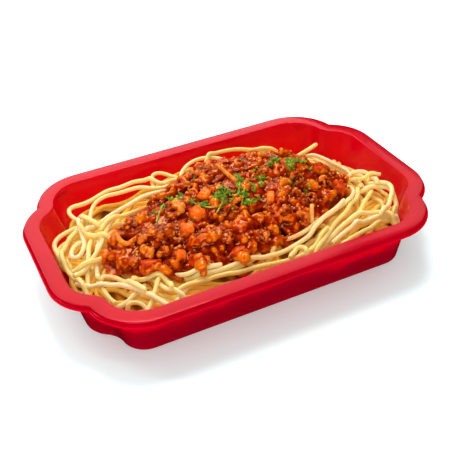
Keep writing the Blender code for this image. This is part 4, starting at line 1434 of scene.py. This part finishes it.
def leaflet(base, tilt, size, fold, curl, phase):
    """One ruffled leaflet: a spoke spun round its stalk, drawn out into three toothed lobes and
    folded along its middle."""
    leaf = bmesh.new()
    spoke = [leaf.verts.new((share, 0, 0)) for share in (0.0, 0.45, 1.0)]
    edges = [leaf.edges.new(pair) for pair in zip(spoke, spoke[1:])]
    start = Matrix.Rotation(-LEAF_HALF_TURN, 3, "Z")
    spread = {"cent": (0, 0, 0), "axis": (0, 0, 1), "angle": 2 * LEAF_HALF_TURN, "steps": LEAF_TEETH}
    bmesh.ops.rotate(leaf, cent=(0, 0, 0), matrix=start, verts=spoke)
    bmesh.ops.spin(leaf, geom=spoke + edges, **spread)
    bmesh.ops.remove_doubles(leaf, verts=leaf.verts, dist=0.001)
    for vertex in leaf.verts:
        share = vertex.co.length  # 0 at the stalk, 1 at the rim
        turn = math.atan2(vertex.co.y, vertex.co.x)
        number = round((turn / LEAF_HALF_TURN + 1) * LEAF_TEETH / 2)
        lobe = 0.62 + 0.38 * abs(math.cos(turn * 1.5))
        tooth = 1 + 0.16 * math.cos(number * math.pi) if share > 0.9 else 1.0
        out = share * lobe * tooth * 1.25
        spot = Vector((out * math.cos(turn) - 0.3, out * math.sin(turn), 0))
        spot.z = fold * abs(spot.y) + curl * share * math.sin(number * 1.3 + phase)
        vertex.co = (base + tilt.to_matrix() @ spot * size) * MM
    return leaf


leaves = bmesh.new()
for x, y, size, count in HERBS:
    clump = bmesh.new()
    for _ in range(count):
        aside = (random_bits.gauss(0, 0.6), random_bits.gauss(0, 0.6), random_bits.uniform(0.0, 0.55))
        away = Vector(aside) * size
        base = resting(x + away.x, y + away.y, away.z + 0.2)
        tilt = (random_bits.uniform(-0.9, 0.9), random_bits.uniform(-0.9, 0.9), random_bits.uniform(0, 6.3))
        big = size * random_bits.uniform(0.75, 1.25)
        fold, curl = random_bits.uniform(-0.5, 0.2), random_bits.uniform(0.1, 0.4)
        pour(leaflet(base, Euler(tilt), big, fold, curl, x), clump)
    pour(clump, leaves)
parsley = kept("parsley_leaves", leaves, 180)
blade = parsley.modifiers.new("blade", "SOLIDIFY")
blade.thickness = 0.14 * MM
settled(parsley)
parsley.data.shade_smooth()
stems = tubes("parsley_stems", lying_on_sauce(STEMS), STEM, 1.0, 8)


def fresh_parsley(name, stops, scale):
    """A living leaf: waxy deep green with paler veins and thin enough for light to come through."""
    material = new_material(name)
    where = add(material, "TexCoord").outputs["Object"]
    vein = add(material, "TexNoise", {"Vector": where, "Scale": 1000 / scale, "Detail": 3.0})
    tint = add(material, "ValToRGB", {"Fac": vein.outputs["Fac"]}, stops=stops)
    wax = add(material, "MapRange", {"Value": vein.outputs["Fac"], "To Min": 0.25, "To Max": 0.6})
    crease = add(material, "Bump", {"Height": vein.outputs["Fac"], "Strength": 0.4, "Distance": 0.2 * MM})
    shader = add(
        material,
        "BsdfPrincipled",
        {
            "Base Color": tint.outputs["Color"],
            "Roughness": wax.outputs["Result"],
            "Normal": crease.outputs["Normal"],
            "IOR": 1.4,
            "Subsurface Weight": 0.15,
            "Subsurface Radius": (0.4, 1.0, 0.1),
            "Subsurface Scale": 0.5 * MM,
        },
    )
    add(material, "OutputMaterial", {"Surface": shader.outputs["BSDF"]})
    return material


parsley.data.materials.append(
    fresh_parsley("curly_parsley_leaf", ((0.3, "#3C5404"), (0.5, "#7A9410"), (0.75, "#CACE4A")), 1.6)
)
stems.data.materials.append(
    fresh_parsley("parsley_stem", ((0.3, "#7C9A20"), (0.5, "#A2B83C"), (0.75, "#CAD86A")), 1.2)
)
for piece in (parsley, stems):
    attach(piece, "root")
    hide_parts("sauce")

# ---- Floor and light
# A sweep of white paper in a bright white room. One soft box hangs over the tray and makes the soft
# shadow, two narrow strips draw the glints on the wet sauce, two panels behind the tray lie in the
# flange as a sheen, and a low fill from the front left lights the tray's near wall.
floor_mesh = bmesh.new()
bmesh.ops.create_grid(floor_mesh, x_segments=1, y_segments=1, size=3.0)  # half its size, in metres
floor = kept("floor", floor_mesh)
paper = new_material("white_paper_sweep")
fibre = add(paper, "TexNoise", {"Vector": add(paper, "TexCoord").outputs["Object"], "Scale": 1000 / 2.5})
paper_bump = add(paper, "Bump", {"Height": fibre.outputs["Fac"], "Strength": 0.05, "Distance": 0.1 * MM})
# Painted correction: the paper is tinted faintly cyan to cancel the red light that the tray throws onto it in
# its shadow.
paper_shader = add(
    paper,
    "BsdfPrincipled",
    {
        "Base Color": linear("#E9FAFA"),
        "Roughness": 0.8,
        "Emission Color": linear("#FFFFFF"),
        "Emission Strength": 0.2,
        "Specular IOR Level": 0.1,
        "Normal": paper_bump.outputs["Normal"],
    },
)
add(paper, "OutputMaterial", {"Surface": paper_shader.outputs["BSDF"]})
floor.data.materials.append(paper)
# The paper and the room light everything, but the wet sauce and the plastic mirror only the lamps.
floor.visible_glossy = False

world = bpy.data.worlds.new("studio")
world.use_nodes = True
background = world.node_tree.nodes["Background"]
background.inputs["Color"].default_value = linear("#FFFFFF")
background.inputs["Strength"].default_value = 0.68
bpy.context.scene.world = world
world.cycles_visibility.glossy = False
bpy.context.scene.view_settings.view_transform = "Standard"
bpy.context.scene.view_settings.gamma = 0.9  # a little more contrast in the reds and browns


def soft_box(name, place, wide, high, power):
    """A studio light with a cloth front, aimed at the tray."""
    light = bpy.data.lights.new(name, "AREA")
    light.shape = "RECTANGLE"
    light.size = wide
    light.size_y = high
    light.energy = power
    lamp = bpy.data.objects.new(name, light)
    lamp.location = place
    lamp.rotation_euler = (Vector((0, 0, 0.02)) - Vector(place)).to_track_quat("-Z", "Y").to_euler()
    bpy.context.scene.collection.objects.link(lamp)


# Each lamp's place and size in metres, and its power in watts.
soft_box("overhead", (0.1, 0.3, 1.05), 0.4, 0.4, 5.0)
soft_box("strip_left", (-0.5, 0.3, 0.8), 0.06, 0.6, 1.6)
soft_box("strip_back", (0.2, 0.55, 0.9), 0.6, 0.06, 1.6)
soft_box("back_panel", (0.08, 0.95, 0.68), 1.1, 0.7, 4.4)
soft_box("back_right_panel", (0.95, 0.95, 0.92), 0.36, 0.3, 0.5)
soft_box("front_fill", (-0.55, -1.0, 0.25), 0.9, 0.5, 8.0)
